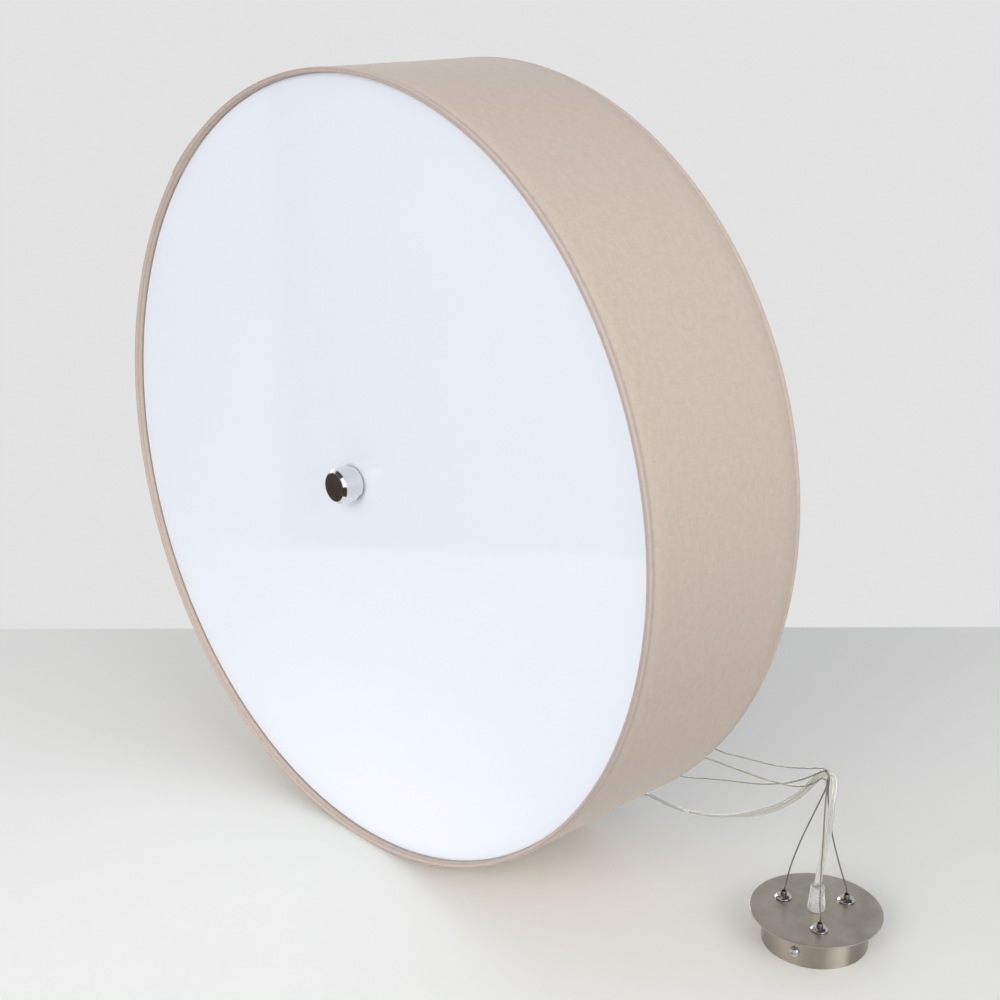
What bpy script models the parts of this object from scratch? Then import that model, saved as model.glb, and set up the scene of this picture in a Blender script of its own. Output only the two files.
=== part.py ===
"""Drum pendant light with a fabric shade, an opal diffuser, three lamps, a wire suspension and a canopy.

It lies on a floor, as before it is hung: the drum stands on its round side with the diffuser facing -Y,
and the canopy lies beside it with its ceiling side down. Metres, +Z up.
"""
from math import cos, pi, radians, sin

import bmesh
import bpy
from mathutils import Vector

# General
GAP = 0.0003                    # clearance between touching pieces
OVERRUN = 0.004                 # how far a cutter passes the face that it cuts
BIG_SIDES = 56                  # sides of the drum's round pieces
MID_SIDES = 32                  # sides of the canopy's round pieces
SMALL_SIDES = 12                # sides of small round pieces
HEX_SIDES = 6
SMOOTH_ANGLE = 30               # degrees, up to which two faces are shaded as one
MERGE_DISTANCE = 0.00001

# Shade
SHADE_R = 0.300                 # outer radius of the drum
SHADE_DEPTH = 0.153             # front rim to back rim
COVER_T = 0.0006                # fabric bonded to its backing
LINING_T = 0.0005
RING_WIRE_R = 0.0009            # wire of the rim rings
RING_SIDES = 6
ROLL_R = RING_WIRE_R + GAP + COVER_T
ROLL_STEPS = 3                  # facets round half a rolled rim
FRONT_RETURN = 0.0044           # straight end of the front roll, inside the rim
RING_CENTRE_R = SHADE_R - ROLL_R

# Diffuser, knob and centre rod
DISC_RECESS = 0.0066            # rim to disc face
DISC_T = 0.003
DISC_CLEAR = 0.001              # disc edge to the rolled rim
WASHER_T = 0.001
WASHER_R = 0.0080
KNOB_R = 0.0130                 # at the front, and a little more at the back
KNOB_BACK_R = 0.0141
KNOB_LENGTH = 0.0132            # head, whose back is level with the rim
KNOB_CHAMFER = 0.0020
KNOB_NECK_R = 0.0118            # neck between the head and the washer
KNOB_BORE_DEPTH = 0.0125
ROD_R = 0.005
ROD_BORE_R = 0.0034
ROD_CLEAR = 0.0006              # hole radius over rod radius
COLLAR_R = 0.012
COLLAR_T = 0.006
NUT_R = 0.0095                  # over the flats
NUT_T = 0.005

# Hub, lampholders and bulbs
LAMP_DEPTH = 0.078              # drum depth at which the bulbs lie
LAMP_ANGLES = (90, 210, 330)    # degrees round the drum, 0 towards +X and 90 up
HUB_R = 0.033
HUB_WALL = 0.0015
HUB_DEPTH = 0.040
NIPPLE_R = 0.005
NIPPLE_BORE_R = 0.0034
NIPPLE_INSIDE = 0.008           # nipple inside the hub's wall
NIPPLE_GRIP = 0.010             # nipple inside the lampholder
HOLDER_R = 0.0150
HOLDER_SKIRT_R = 0.0200
HOLDER_LENGTH = 0.054
HOLDER_BACK_T = 0.024
HOLDER_STEP = 0.022
HOLDER_SLOPE = 0.005
HOLDER_BORE_R = 0.0142
CAP_R = 0.0132
CAP_WALL = 0.0007
CAP_LENGTH = 0.025
CAP_BASE_T = 0.003
CAP_CONTACT_R = 0.0050
CAP_TAPER = 0.004
BULB_NECK_R = CAP_R - CAP_WALL - GAP * 2
BULB_R = 0.030
BULB_LENGTH = 0.105             # cap contact to crown
BULB_GLASS_T = 0.001
BULB_SEAT = 0.008               # neck inside the cap
BULB_NECK = 0.0065              # straight neck outside the cap
BULB_SHOULDER_ANGLE = -40       # degrees round the globe, from its widest line
BULB_GLOBE_ANGLES = (-10, 20, 50)

# Spider
ARM_R = 0.0015
ARM_DROP = 0.0019               # ring centre to arm centre, along the drum
HUB_PLATE_R = 0.028
HUB_PLATE_T = 0.002
ARM_START_R = 0.014             # drum axis to each arm's end inside the plate
ANCHOR_SPREAD = 0.075           # drum axis to each wire's anchor
ANCHOR_R = 0.0026
ANCHOR_LENGTH = 0.008
PAD_R = 0.0055                  # flat pad on each arm under its anchor
PAD_T = 0.0040

# Terminal blocks
BLOCK_SIZE = Vector((0.013, 0.009, 0.018))
BLOCK_OFFSET = 0.0165
BLOCK_ANGLE = 30

# Cord grips, on the rod and on the canopy
GRIP_BASE_R = 0.0064
GRIP_TOP_R = 0.0051
GRIP_STEP = 0.0125
GRIP_STEP_IN = 0.0003
GRIP_HEIGHT = 0.0183
GRIP_FOOT = 0.0020
GRIP_BORE_R = 0.0031
GRIP_TAIL_R = 0.0046
GRIP_TAIL = 0.0095
GRIP_NUT_R = 0.0080
GRIP_NUT_T = 0.003

# Canopy, measured from the floor that it lies on
CANOPY_REACH = 0.3338           # drum axis to canopy axis, sideways
CANOPY_BACK = 0.1538            # front rim to canopy axis, along the drum
CANOPY_HEIGHT = 0.0245
PLATE_R = 0.0475
PLATE_T = 0.0012
PLATE_EDGE = 0.0004
CUP_R = 0.0382
CUP_WALL = 0.0010
CUP_FLANGE = 0.005
CUP_CORNER = 0.0015
BRACKET_T = 0.0015
BRACKET_WIDTH = 0.014
BRACKET_CLEAR = 0.0006          # ear to cup wall
EAR_HEIGHT = 0.017
SLOT_LENGTH = 0.012
SLOT_WIDTH = 0.0048
SLOT_SPREAD = 0.0235
WIRE_HOLE_R = 0.005
SCREW_ANGLE = -75.4             # degrees round the canopy, of the screw in front
SCREW_LEVEL = 0.0107
SCREW_HEAD_R = 0.0039
SCREW_HEAD_T = 0.0026
SCREW_RIM_SHARE = 0.92          # radius and height where the head starts to round off
SCREW_RIM_HEIGHT_SHARE = 0.6
SCREW_CROWN_SHARE = 0.62
SCREW_R = 0.0019
SCREW_LENGTH = 0.007
SCREW_CLEAR = 0.0004
SOCKET_R = 0.0014
SOCKET_DEPTH = 0.0014
CANOPY_BLOCK_ANGLE = 11.3       # degrees round the canopy, midway between two grippers
CANOPY_BLOCK_SPREAD = 0.021

# Wire grippers
GRIPPER_SPREAD = 0.026
GRIPPER_ANGLES = (-48.7, 71.3, 191.3)
FLANGE_R = 0.0062
FLANGE_EDGE = 0.0007
DOME_HEIGHT = 0.0021
DOME_TOP_R = 0.0030
DOME_SHOULDER_SHARE = 0.62      # height of the dome midway up its side
SHANK_R = 0.0036
SHANK_LENGTH = 0.0095
SHANK_CLEAR = 0.0004
PLUNGER_R = 0.0023
PLUNGER_CLEAR = 0.0003
PLUNGER_PROUD = 0.0029          # nozzle above the dome
PLUNGER_DEPTH = 0.0060          # plunger inside the body
PLUNGER_TRAVEL = 0.0015
PLUNGER_BORE_R = 0.0009
NOZZLE_TOP_SHARE = 0.72         # nozzle's tip, and its chamfer, as shares of its radius
NOZZLE_CHAMFER_SHARE = 0.4
GRIPPER_NUT_R = 0.0055
GRIPPER_NUT_T = 0.0025

# Wires and flex
WIRE_R = 0.00055
FLEX_R = 0.0026                 # half the width of the flat flex
WIRE_POINTS = 40
FLEX_POINTS = 52
ROUTE_STEPS = 16                # steps of the curve between two route points
FINE_POINTS = 640               # points that are eased before the final spacing
EASING_PASSES = 6
CLIP_R = 0.0040
CLIP_LENGTH = 0.005
CLIP_SHARE = 0.625               # place of the clip along the flex

# Routes, from drum to canopy, with x and y from the drum's front centre and z from the floor
WIRE_ROUTES = (
    ((0.0, 0.1599, 0.375), (0.0004, 0.169, 0.3741), (0.003, 0.179, 0.366), (0.0085, 0.185, 0.343),
     (0.019, 0.188, 0.292), (0.038, 0.1895, 0.226), (0.07, 0.19, 0.162), (0.114, 0.189, 0.116),
     (0.164, 0.186, 0.097), (0.216, 0.1791, 0.0978), (0.2372, 0.1755, 0.1023),
     (0.2575, 0.1723, 0.1072), (0.2764, 0.1691, 0.1121), (0.2961, 0.1653, 0.1192),
     (0.3117, 0.1615, 0.1261), (0.3234, 0.1579, 0.1323), (0.3307, 0.1558, 0.1352),
     (0.3343, 0.1549, 0.1342), (0.3348, 0.1549, 0.129), (0.3351, 0.1537, 0.1193),
     (0.3378, 0.1496, 0.1038), (0.3407, 0.1457, 0.0867), (0.3441, 0.1412, 0.0676),
     (0.3485, 0.1358, 0.0455), (0.3506, 0.1348, 0.0353), (0.351, 0.1343, 0.0301)),
    ((-0.065, 0.1599, 0.2625), (-0.0652, 0.17, 0.2615), (-0.0655, 0.18, 0.253), (-0.064, 0.185, 0.23),
     (-0.056, 0.1885, 0.185), (-0.038, 0.19, 0.136), (-0.008, 0.191, 0.098), (0.035, 0.191, 0.073),
     (0.085, 0.189, 0.064), (0.135, 0.186, 0.068), (0.175, 0.182, 0.075), (0.2084, 0.1769, 0.088),
     (0.2287, 0.1737, 0.0915), (0.2487, 0.1702, 0.0953), (0.2676, 0.1662, 0.0993),
     (0.2862, 0.162, 0.1043), (0.3012, 0.1583, 0.1091), (0.3147, 0.1551, 0.1153),
     (0.3236, 0.153, 0.1218), (0.3301, 0.1512, 0.1283), (0.3346, 0.1505, 0.1321),
     (0.3369, 0.1507, 0.1305), (0.3369, 0.1507, 0.1256), (0.3344, 0.1504, 0.1179),
     (0.3281, 0.1505, 0.101), (0.3193, 0.1505, 0.077), (0.3124, 0.1495, 0.0526),
     (0.3093, 0.149, 0.0353), (0.3083, 0.1487, 0.0301)),
    ((0.065, 0.1599, 0.2625), (0.0653, 0.169, 0.2616), (0.0675, 0.177, 0.254), (0.0715, 0.1805, 0.231),
     (0.078, 0.1815, 0.19), (0.089, 0.182, 0.145), (0.106, 0.182, 0.101), (0.129, 0.1815, 0.072),
     (0.157, 0.18, 0.061), (0.1816, 0.179, 0.0613), (0.2074, 0.1758, 0.0708), (0.2325, 0.1734, 0.08),
     (0.2529, 0.1703, 0.0873), (0.2712, 0.1679, 0.0946), (0.2914, 0.1646, 0.1048),
     (0.3037, 0.1617, 0.1126), (0.3135, 0.1598, 0.1197), (0.3218, 0.1584, 0.1264),
     (0.3286, 0.1573, 0.132), (0.3322, 0.158, 0.1324), (0.3331, 0.1589, 0.1272),
     (0.3324, 0.1594, 0.1176), (0.3323, 0.1623, 0.1013), (0.3338, 0.1673, 0.0781),
     (0.338, 0.1734, 0.0524), (0.3417, 0.1778, 0.0353), (0.3421, 0.1784, 0.0301)),
)
FLEX_ROUTE = (
    (0.0, 0.1748, 0.3), (0.0003, 0.184, 0.2992), (0.002, 0.192, 0.293), (0.006, 0.1965, 0.276),
    (0.012, 0.1985, 0.235), (0.018, 0.1985, 0.18), (0.026, 0.198, 0.125), (0.038, 0.197, 0.076),
    (0.058, 0.195, 0.037), (0.088, 0.191, 0.017), (0.118, 0.187, 0.017), (0.1458, 0.1802, 0.0297),
    (0.1673, 0.179, 0.0308), (0.1875, 0.1772, 0.0342), (0.2083, 0.1753, 0.04), (0.2242, 0.174, 0.0458),
    (0.2387, 0.1727, 0.0523), (0.2618, 0.1704, 0.0651), (0.2826, 0.1677, 0.0795),
    (0.2977, 0.1656, 0.0933), (0.3087, 0.1641, 0.1056), (0.3179, 0.1623, 0.1178),
    (0.3239, 0.1614, 0.1256), (0.3291, 0.1629, 0.1292), (0.3331, 0.1648, 0.1254),
    (0.3351, 0.1632, 0.1189), (0.3364, 0.16, 0.1103), (0.3363, 0.1582, 0.0909),
    (0.335, 0.1566, 0.0725), (0.334, 0.1545, 0.0559), (0.3338, 0.1538, 0.0488), (0.3338, 0.1538, 0.0434),
)

# Places worked out from the sizes
DISC_R = SHADE_R - 2 * ROLL_R - DISC_CLEAR
DISC_BACK = DISC_RECESS + DISC_T
WASHER_BACK = DISC_RECESS - GAP
KNOB_NECK_BACK = WASHER_BACK - WASHER_T - GAP
KNOB_BACK = 0.0
KNOB_FRONT = KNOB_BACK - KNOB_LENGTH
KNOB_BORE_END = KNOB_NECK_BACK - KNOB_BORE_DEPTH
RING_DEPTHS = (ROLL_R, SHADE_DEPTH - ROLL_R)
ARM_DEPTH = SHADE_DEPTH - ROLL_R - ARM_DROP
PLATE_FACE = ARM_DEPTH + HUB_PLATE_T / 2
HUB_FRONT = LAMP_DEPTH - HUB_DEPTH / 2
HUB_BACK = LAMP_DEPTH + HUB_DEPTH / 2
ROD_FRONT = KNOB_BORE_END + GAP * 2
ROD_BACK = PLATE_FACE + GAP + NUT_T + GAP
HOLDER_FOOT = HUB_R + GAP
BULB_FOOT = HOLDER_FOOT + HOLDER_BACK_T + GAP
ROD_HOLE_R = ROD_R + ROD_CLEAR
PLATE_BOTTOM = CANOPY_HEIGHT - PLATE_T
CUP_TOP = PLATE_BOTTOM - GAP
CUP_INNER_R = CUP_R - CUP_WALL
EAR_REACH = CUP_INNER_R - BRACKET_CLEAR
PLUNGER_TOP = CANOPY_HEIGHT + GAP + DOME_HEIGHT + PLUNGER_PROUD
LEFT_END = -SHADE_R
RIGHT_END = CANOPY_REACH + PLATE_R
FRONT_END = KNOB_FRONT
BACK_END = CANOPY_BACK + PLATE_R
DRUM_PLACE = Vector((-(LEFT_END + RIGHT_END) / 2, -(FRONT_END + BACK_END) / 2, 0.0))


def clear_scene():
    for item in list(bpy.data.objects):
        bpy.data.objects.remove(item, do_unlink=True)


def material(name, color, roughness, metallic=0.0, alpha=1.0):
    made = bpy.data.materials.new(name)
    made.use_nodes = True
    shader = made.node_tree.nodes["Principled BSDF"]
    shader.inputs["Base Color"].default_value = (*color, 1.0)
    shader.inputs["Roughness"].default_value = roughness
    shader.inputs["Metallic"].default_value = metallic
    shader.inputs["Alpha"].default_value = alpha
    return made


def empty(name, place=(0, 0, 0), turn=(0, 0, 0), parent=None):
    holder = bpy.data.objects.new(name, None)
    bpy.context.collection.objects.link(holder)
    holder.location = place
    holder.rotation_euler = turn
    holder.parent = parent
    return holder


def finish(name, mesh, parent, look, place=(0, 0, 0), turn=(0, 0, 0)):
    """Links a mesh as one named sub-part, with its own material and smooth shading on its round faces."""
    part = bpy.data.objects.new(name, mesh)
    bpy.context.collection.objects.link(part)
    part.parent = parent
    part.location = place
    part.rotation_euler = turn
    mesh.materials.append(look)
    mesh.shade_smooth()
    mesh.set_sharp_from_angle(angle=radians(SMOOTH_ANGLE))
    return part


def turned_mesh(name, outline, sides, closed=True):
    """Spins an outline of (radius, height) points round local Z. The flats lie at the stated radii."""
    mesh = bpy.data.meshes.new(name)
    bm = bmesh.new()
    reach = 1 / cos(pi / sides)
    start = pi / sides
    verts = [bm.verts.new((r * reach * cos(start), r * reach * sin(start), h)) for r, h in outline]
    pairs = list(zip(verts, verts[1:]))
    if closed:
        pairs.append((verts[-1], verts[0]))
    edges = [bm.edges.new(pair) for pair in pairs]
    bmesh.ops.spin(bm, geom=verts + edges, cent=(0, 0, 0), axis=(0, 0, 1), angle=2 * pi, steps=sides,
                   use_merge=True)
    bmesh.ops.remove_doubles(bm, verts=bm.verts, dist=MERGE_DISTANCE)
    bmesh.ops.recalc_face_normals(bm, faces=bm.faces)
    bm.to_mesh(mesh)
    bm.free()
    return mesh


def tube_outline(outer_r, inner_r, low, high):
    return [(inner_r, low), (outer_r, low), (outer_r, high), (inner_r, high)]


def box_mesh(name, size):
    mesh = bpy.data.meshes.new(name)
    bm = bmesh.new()
    bmesh.ops.create_cube(bm, size=1)
    bmesh.ops.scale(bm, vec=size, verts=bm.verts)
    bm.to_mesh(mesh)
    bm.free()
    return mesh


def cylinder_mesh(name, radius, length, sides):
    """A cylinder from its foot at local z = 0, with its flats at the stated radius."""
    return turned_mesh(name, [(0, 0), (radius, 0), (radius, length), (0, length)], sides, closed=False)


def cutter(name, mesh, parent, place=(0, 0, 0), turn=(0, 0, 0)):
    tool = bpy.data.objects.new(name, mesh)
    bpy.context.collection.objects.link(tool)
    tool.parent = parent
    tool.location = place
    tool.rotation_euler = turn
    tool.hide_render = True
    tool.display_type = "WIRE"
    return tool


def join_shape(part, tool, operation):
    change = part.modifiers.new(tool.name, "BOOLEAN")
    change.operation = operation
    change.solver = "EXACT"
    change.object = tool
    return change


def around(angle, radius, height=0.0):
    """A place round local Z, at an angle in degrees."""
    return Vector((radius * cos(radians(angle)), radius * sin(radians(angle)), height))


def radial_turn(angle):
    """Points a turned piece's own Z outwards at an angle in degrees round local Z."""
    return (0, pi / 2, radians(angle))


def roll_points(centre_r, centre_z, radius, first, last):
    """Arc points of a rolled rim, from one angle to another in degrees, in radius and height."""
    steps = [first + (last - first) * step / ROLL_STEPS for step in range(ROLL_STEPS + 1)]
    return [(centre_r + radius * cos(radians(a)), centre_z + radius * sin(radians(a))) for a in steps]


def shade_cover(drum, look):
    """Fabric tube whose two ends are turned over the rim rings."""
    low, high = RING_DEPTHS
    inside = ROLL_R - COVER_T
    outline = roll_points(RING_CENTRE_R, high, ROLL_R, 0, 180)
    outline += roll_points(RING_CENTRE_R, high, inside, 180, 0)
    outline += roll_points(RING_CENTRE_R, low, inside, 0, -180)
    outline.append((RING_CENTRE_R - inside, low + FRONT_RETURN))
    outline.append((RING_CENTRE_R - ROLL_R, low + FRONT_RETURN))
    outline += roll_points(RING_CENTRE_R, low, ROLL_R, -180, 0)
    return finish("shade_cover", turned_mesh("shade_cover", outline, BIG_SIDES), drum, look)


def shade_lining(drum, look):
    outer = SHADE_R - COVER_T - GAP
    low = RING_DEPTHS[0] + FRONT_RETURN + GAP
    high = ARM_DEPTH - ARM_R - GAP
    outline = tube_outline(outer, outer - LINING_T, low, high)
    return finish("shade_lining", turned_mesh("shade_lining", outline, BIG_SIDES), drum, look)


def ring_outline(centre_z):
    corners = [2 * pi * (side + 0.5) / RING_SIDES for side in range(RING_SIDES)]
    return [(RING_CENTRE_R + RING_WIRE_R * cos(a), centre_z + RING_WIRE_R * sin(a)) for a in corners]


def front_ring(drum, look):
    return finish("front_ring", turned_mesh("front_ring", ring_outline(RING_DEPTHS[0]), BIG_SIDES), drum, look)


def back_frame(drum, look):
    """Back ring welded to three arms, which meet in a drilled plate on the drum's axis."""
    frame = finish("back_frame", turned_mesh("back_frame", ring_outline(RING_DEPTHS[1]), BIG_SIDES), drum, look)
    half_plate = HUB_PLATE_T / 2
    plate_outline = tube_outline(HUB_PLATE_R, ROD_HOLE_R, ARM_DEPTH - half_plate, ARM_DEPTH + half_plate)
    plate = cutter("hub_plate", turned_mesh("hub_plate", plate_outline, MID_SIDES), drum)
    arm_length = RING_CENTRE_R - ARM_START_R
    for index, angle in enumerate(LAMP_ANGLES, 1):
        arm_mesh = cylinder_mesh(f"arm_{index}", ARM_R, arm_length, HEX_SIDES)
        start = around(-angle, ARM_START_R, ARM_DEPTH)
        arm = cutter(f"arm_{index}", arm_mesh, drum, start, radial_turn(-angle))
        join_shape(frame, arm, "UNION")
        pad_mesh = cylinder_mesh(f"pad_{index}", PAD_R, PAD_T, SMALL_SIDES)
        place = around(-angle, ANCHOR_SPREAD, ARM_DEPTH - PAD_T / 2)
        join_shape(frame, cutter(f"pad_{index}", pad_mesh, drum, place), "UNION")
    join_shape(frame, plate, "UNION")
    return frame


def hub(drum, look):
    """Round box that carries the lampholders, open at the back under its cover."""
    outline = [(ROD_HOLE_R, HUB_FRONT), (HUB_R, HUB_FRONT), (HUB_R, HUB_BACK), (HUB_R - HUB_WALL, HUB_BACK),
               (HUB_R - HUB_WALL, HUB_FRONT + HUB_WALL), (ROD_HOLE_R, HUB_FRONT + HUB_WALL)]
    housing = finish("hub_housing", turned_mesh("hub_housing", outline, MID_SIDES), drum, look)
    hole_length = HUB_WALL + 2 * OVERRUN
    for index, angle in enumerate(LAMP_ANGLES, 1):
        drill = cylinder_mesh(f"nipple_hole_{index}", NIPPLE_R + ROD_CLEAR, hole_length, SMALL_SIDES)
        place = around(-angle, HUB_R - HUB_WALL - OVERRUN, LAMP_DEPTH)
        join_shape(housing, cutter(f"nipple_hole_{index}", drill, drum, place, radial_turn(-angle)), "DIFFERENCE")
    low = HUB_BACK + GAP
    cover = tube_outline(HUB_R, ROD_HOLE_R, low, low + HUB_WALL)
    finish("hub_cover", turned_mesh("hub_cover", cover, MID_SIDES), drum, look)


def rod_and_nuts(drum, zinc):
    rod = tube_outline(ROD_R, ROD_BORE_R, ROD_FRONT, ROD_BACK)
    finish("center_rod", turned_mesh("center_rod", rod, SMALL_SIDES), drum, zinc)
    nut_places = {
        "hub_front_nut": HUB_FRONT - GAP - NUT_T,
        "hub_back_nut": HUB_BACK + GAP + HUB_WALL + GAP,
        "spider_front_nut": ARM_DEPTH - HUB_PLATE_T / 2 - GAP - NUT_T,
        "spider_back_nut": PLATE_FACE + GAP,
    }
    for name, low in nut_places.items():
        nut = tube_outline(NUT_R, ROD_HOLE_R, low, low + NUT_T)
        finish(name, turned_mesh(name, nut, HEX_SIDES), drum, zinc)
    seat = tube_outline(COLLAR_R, ROD_HOLE_R, DISC_BACK + GAP, DISC_BACK + GAP + COLLAR_T)
    finish("disc_collar", turned_mesh("disc_collar", seat, SMALL_SIDES), drum, zinc)


def diffuser(drum, acrylic, chrome, rubber):
    disc = tube_outline(DISC_R, ROD_HOLE_R, DISC_RECESS, DISC_BACK)
    finish("diffuser_disc", turned_mesh("diffuser_disc", disc, BIG_SIDES), drum, acrylic)
    washer = tube_outline(WASHER_R, ROD_HOLE_R, WASHER_BACK - WASHER_T, WASHER_BACK)
    finish("knob_washer", turned_mesh("knob_washer", washer, SMALL_SIDES), drum, rubber)
    knob = [(0, KNOB_FRONT), (KNOB_R - KNOB_CHAMFER, KNOB_FRONT), (KNOB_R, KNOB_FRONT + KNOB_CHAMFER),
            (KNOB_BACK_R, KNOB_BACK), (KNOB_NECK_R, KNOB_BACK), (KNOB_NECK_R, KNOB_NECK_BACK),
            (ROD_HOLE_R, KNOB_NECK_BACK), (ROD_HOLE_R, KNOB_BORE_END), (0, KNOB_BORE_END)]
    finish("knob", turned_mesh("knob", knob, MID_SIDES, closed=False), drum, chrome)


def bulb_outline():
    """Pear-shaped glass, outer line up to the crown and inner line back down, open at the neck."""
    globe_z = BULB_LENGTH - BULB_R
    neck_z = CAP_LENGTH - BULB_SEAT
    shoulder_turn = radians(BULB_SHOULDER_ANGLE)
    shoulder = (BULB_R * cos(shoulder_turn), globe_z + BULB_R * sin(shoulder_turn))
    flare_z = CAP_LENGTH + BULB_NECK
    outer = [(BULB_NECK_R, neck_z), (BULB_NECK_R, flare_z), shoulder]
    outer += [(BULB_R * cos(radians(a)), globe_z + BULB_R * sin(radians(a))) for a in BULB_GLOBE_ANGLES]
    outer.append((0, BULB_LENGTH))
    thin = BULB_GLASS_T
    inner_r = BULB_R - thin
    inner = [(0, BULB_LENGTH - thin)]
    back_down = reversed(BULB_GLOBE_ANGLES)
    inner += [(inner_r * cos(radians(a)), globe_z + inner_r * sin(radians(a))) for a in back_down]
    inner += [(shoulder[0] - thin, shoulder[1] + thin / 2), (BULB_NECK_R - thin, flare_z)]
    inner.append((BULB_NECK_R - thin, neck_z))
    return outer + inner


def lamps(drum, looks):
    """Three lampholders round the hub, each with a screwed-in bulb whose axis is the turning axis."""
    foot = HOLDER_FOOT
    step = foot + HOLDER_STEP
    mouth = foot + HOLDER_LENGTH
    seat = foot + HOLDER_BACK_T
    nipple_hole = NIPPLE_R + ROD_CLEAR
    holder = [(nipple_hole, foot), (HOLDER_R, foot), (HOLDER_R, step), (HOLDER_SKIRT_R, step + HOLDER_SLOPE),
              (HOLDER_SKIRT_R, mouth), (HOLDER_BORE_R, mouth), (HOLDER_BORE_R, seat), (nipple_hole, seat)]
    nipple_foot = HUB_R - HUB_WALL - NIPPLE_INSIDE
    nipple = tube_outline(NIPPLE_R, NIPPLE_BORE_R, nipple_foot, foot + NIPPLE_GRIP)
    hollow = CAP_R - CAP_WALL
    cap = [(0, 0), (CAP_CONTACT_R, 0), (CAP_R, CAP_TAPER), (CAP_R, CAP_LENGTH), (hollow, CAP_LENGTH),
           (hollow, CAP_BASE_T + CAP_TAPER), (0, CAP_BASE_T + CAP_TAPER)]
    for index, angle in enumerate(LAMP_ANGLES, 1):
        axis = empty(f"lamp_axis_{index}", (0, 0, LAMP_DEPTH), radial_turn(-angle), drum)
        finish(f"lampholder_{index}", turned_mesh("lampholder", holder, SMALL_SIDES), axis, looks["holder"])
        finish(f"nipple_{index}", turned_mesh("nipple", nipple, SMALL_SIDES), axis, looks["zinc"])
        seated = (0, 0, BULB_FOOT)
        cap_mesh = turned_mesh("bulb_cap", cap, SMALL_SIDES, closed=False)
        finish(f"bulb_cap_{index}", cap_mesh, axis, looks["cap"], seated)
        glass_mesh = turned_mesh("bulb_glass", bulb_outline(), SMALL_SIDES)
        finish(f"bulb_glass_{index}", glass_mesh, axis, looks["glass"], seated)


def terminal_blocks(drum, canopy, look):
    """A connector block on the hub's floor and one under the canopy's plate."""
    place = around(BLOCK_ANGLE, BLOCK_OFFSET, HUB_FRONT + HUB_WALL + GAP + BLOCK_SIZE.z / 2)
    finish("hub_terminal", box_mesh("hub_terminal", BLOCK_SIZE), drum, look, place, (0, 0, radians(BLOCK_ANGLE)))
    size = Vector((BLOCK_SIZE.x, BLOCK_SIZE.z, BLOCK_SIZE.y))
    spot = around(CANOPY_BLOCK_ANGLE, CANOPY_BLOCK_SPREAD, PLATE_BOTTOM - GAP - size.z / 2)
    turn = (0, 0, radians(CANOPY_BLOCK_ANGLE))
    finish("canopy_terminal", box_mesh("canopy_terminal", size), canopy, look, spot, turn)


def grip_outline():
    """Tapered strain relief above its seat at height 0, with a threaded tail below it."""
    mid = GRIP_BASE_R + (GRIP_TOP_R - GRIP_BASE_R) * GRIP_STEP / GRIP_HEIGHT
    return [(GRIP_BORE_R, -GRIP_TAIL), (GRIP_TAIL_R, -GRIP_TAIL), (GRIP_TAIL_R, 0), (GRIP_BASE_R, 0),
            (GRIP_BASE_R, GRIP_FOOT), (mid, GRIP_STEP), (mid - GRIP_STEP_IN, GRIP_STEP), (GRIP_TOP_R, GRIP_HEIGHT),
            (GRIP_BORE_R, GRIP_HEIGHT)]


def cord_grips(drum, canopy, clear, steel):
    on_plate = (0, 0, CANOPY_HEIGHT + GAP)
    finish("cord_grip", turned_mesh("cord_grip", grip_outline(), SMALL_SIDES), canopy, clear, on_plate)
    top = PLATE_BOTTOM - GAP
    nut = tube_outline(GRIP_NUT_R, GRIP_TAIL_R + SHANK_CLEAR, top - GRIP_NUT_T, top)
    finish("cord_grip_nut", turned_mesh("cord_grip_nut", nut, HEX_SIDES), canopy, steel)
    sleeve = [(GRIP_BORE_R, 0), (GRIP_BASE_R, 0), (GRIP_BASE_R, GRIP_FOOT), (GRIP_TOP_R, GRIP_HEIGHT),
              (GRIP_BORE_R, GRIP_HEIGHT)]
    on_rod = (0, 0, ROD_BACK + GAP)
    finish("rod_cord_grip", turned_mesh("rod_cord_grip", sleeve, SMALL_SIDES), drum, clear, on_rod)


def wire_anchors(drum, look):
    for index, angle in enumerate(LAMP_ANGLES, 1):
        place = around(-angle, ANCHOR_SPREAD, ARM_DEPTH + PAD_T / 2 + GAP)
        name = f"wire_anchor_{index}"
        finish(name, cylinder_mesh(name, ANCHOR_R, ANCHOR_LENGTH, SMALL_SIDES), drum, look, place)


def canopy_plate(canopy, look):
    hole = GRIP_TAIL_R + SHANK_CLEAR
    outline = [(hole, PLATE_BOTTOM), (PLATE_R - PLATE_EDGE, PLATE_BOTTOM), (PLATE_R, PLATE_BOTTOM + PLATE_EDGE),
               (PLATE_R, CANOPY_HEIGHT - PLATE_EDGE), (PLATE_R - PLATE_EDGE, CANOPY_HEIGHT),
               (hole, CANOPY_HEIGHT)]
    plate = finish("canopy_plate", turned_mesh("canopy_plate", outline, MID_SIDES), canopy, look)
    for index, angle in enumerate(GRIPPER_ANGLES, 1):
        drill = cylinder_mesh(f"gripper_hole_{index}", SHANK_R + SHANK_CLEAR, PLATE_T + 2 * OVERRUN, SMALL_SIDES)
        place = around(angle, GRIPPER_SPREAD, PLATE_BOTTOM - OVERRUN)
        join_shape(plate, cutter(f"gripper_hole_{index}", drill, canopy, place), "DIFFERENCE")
    return plate


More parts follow.
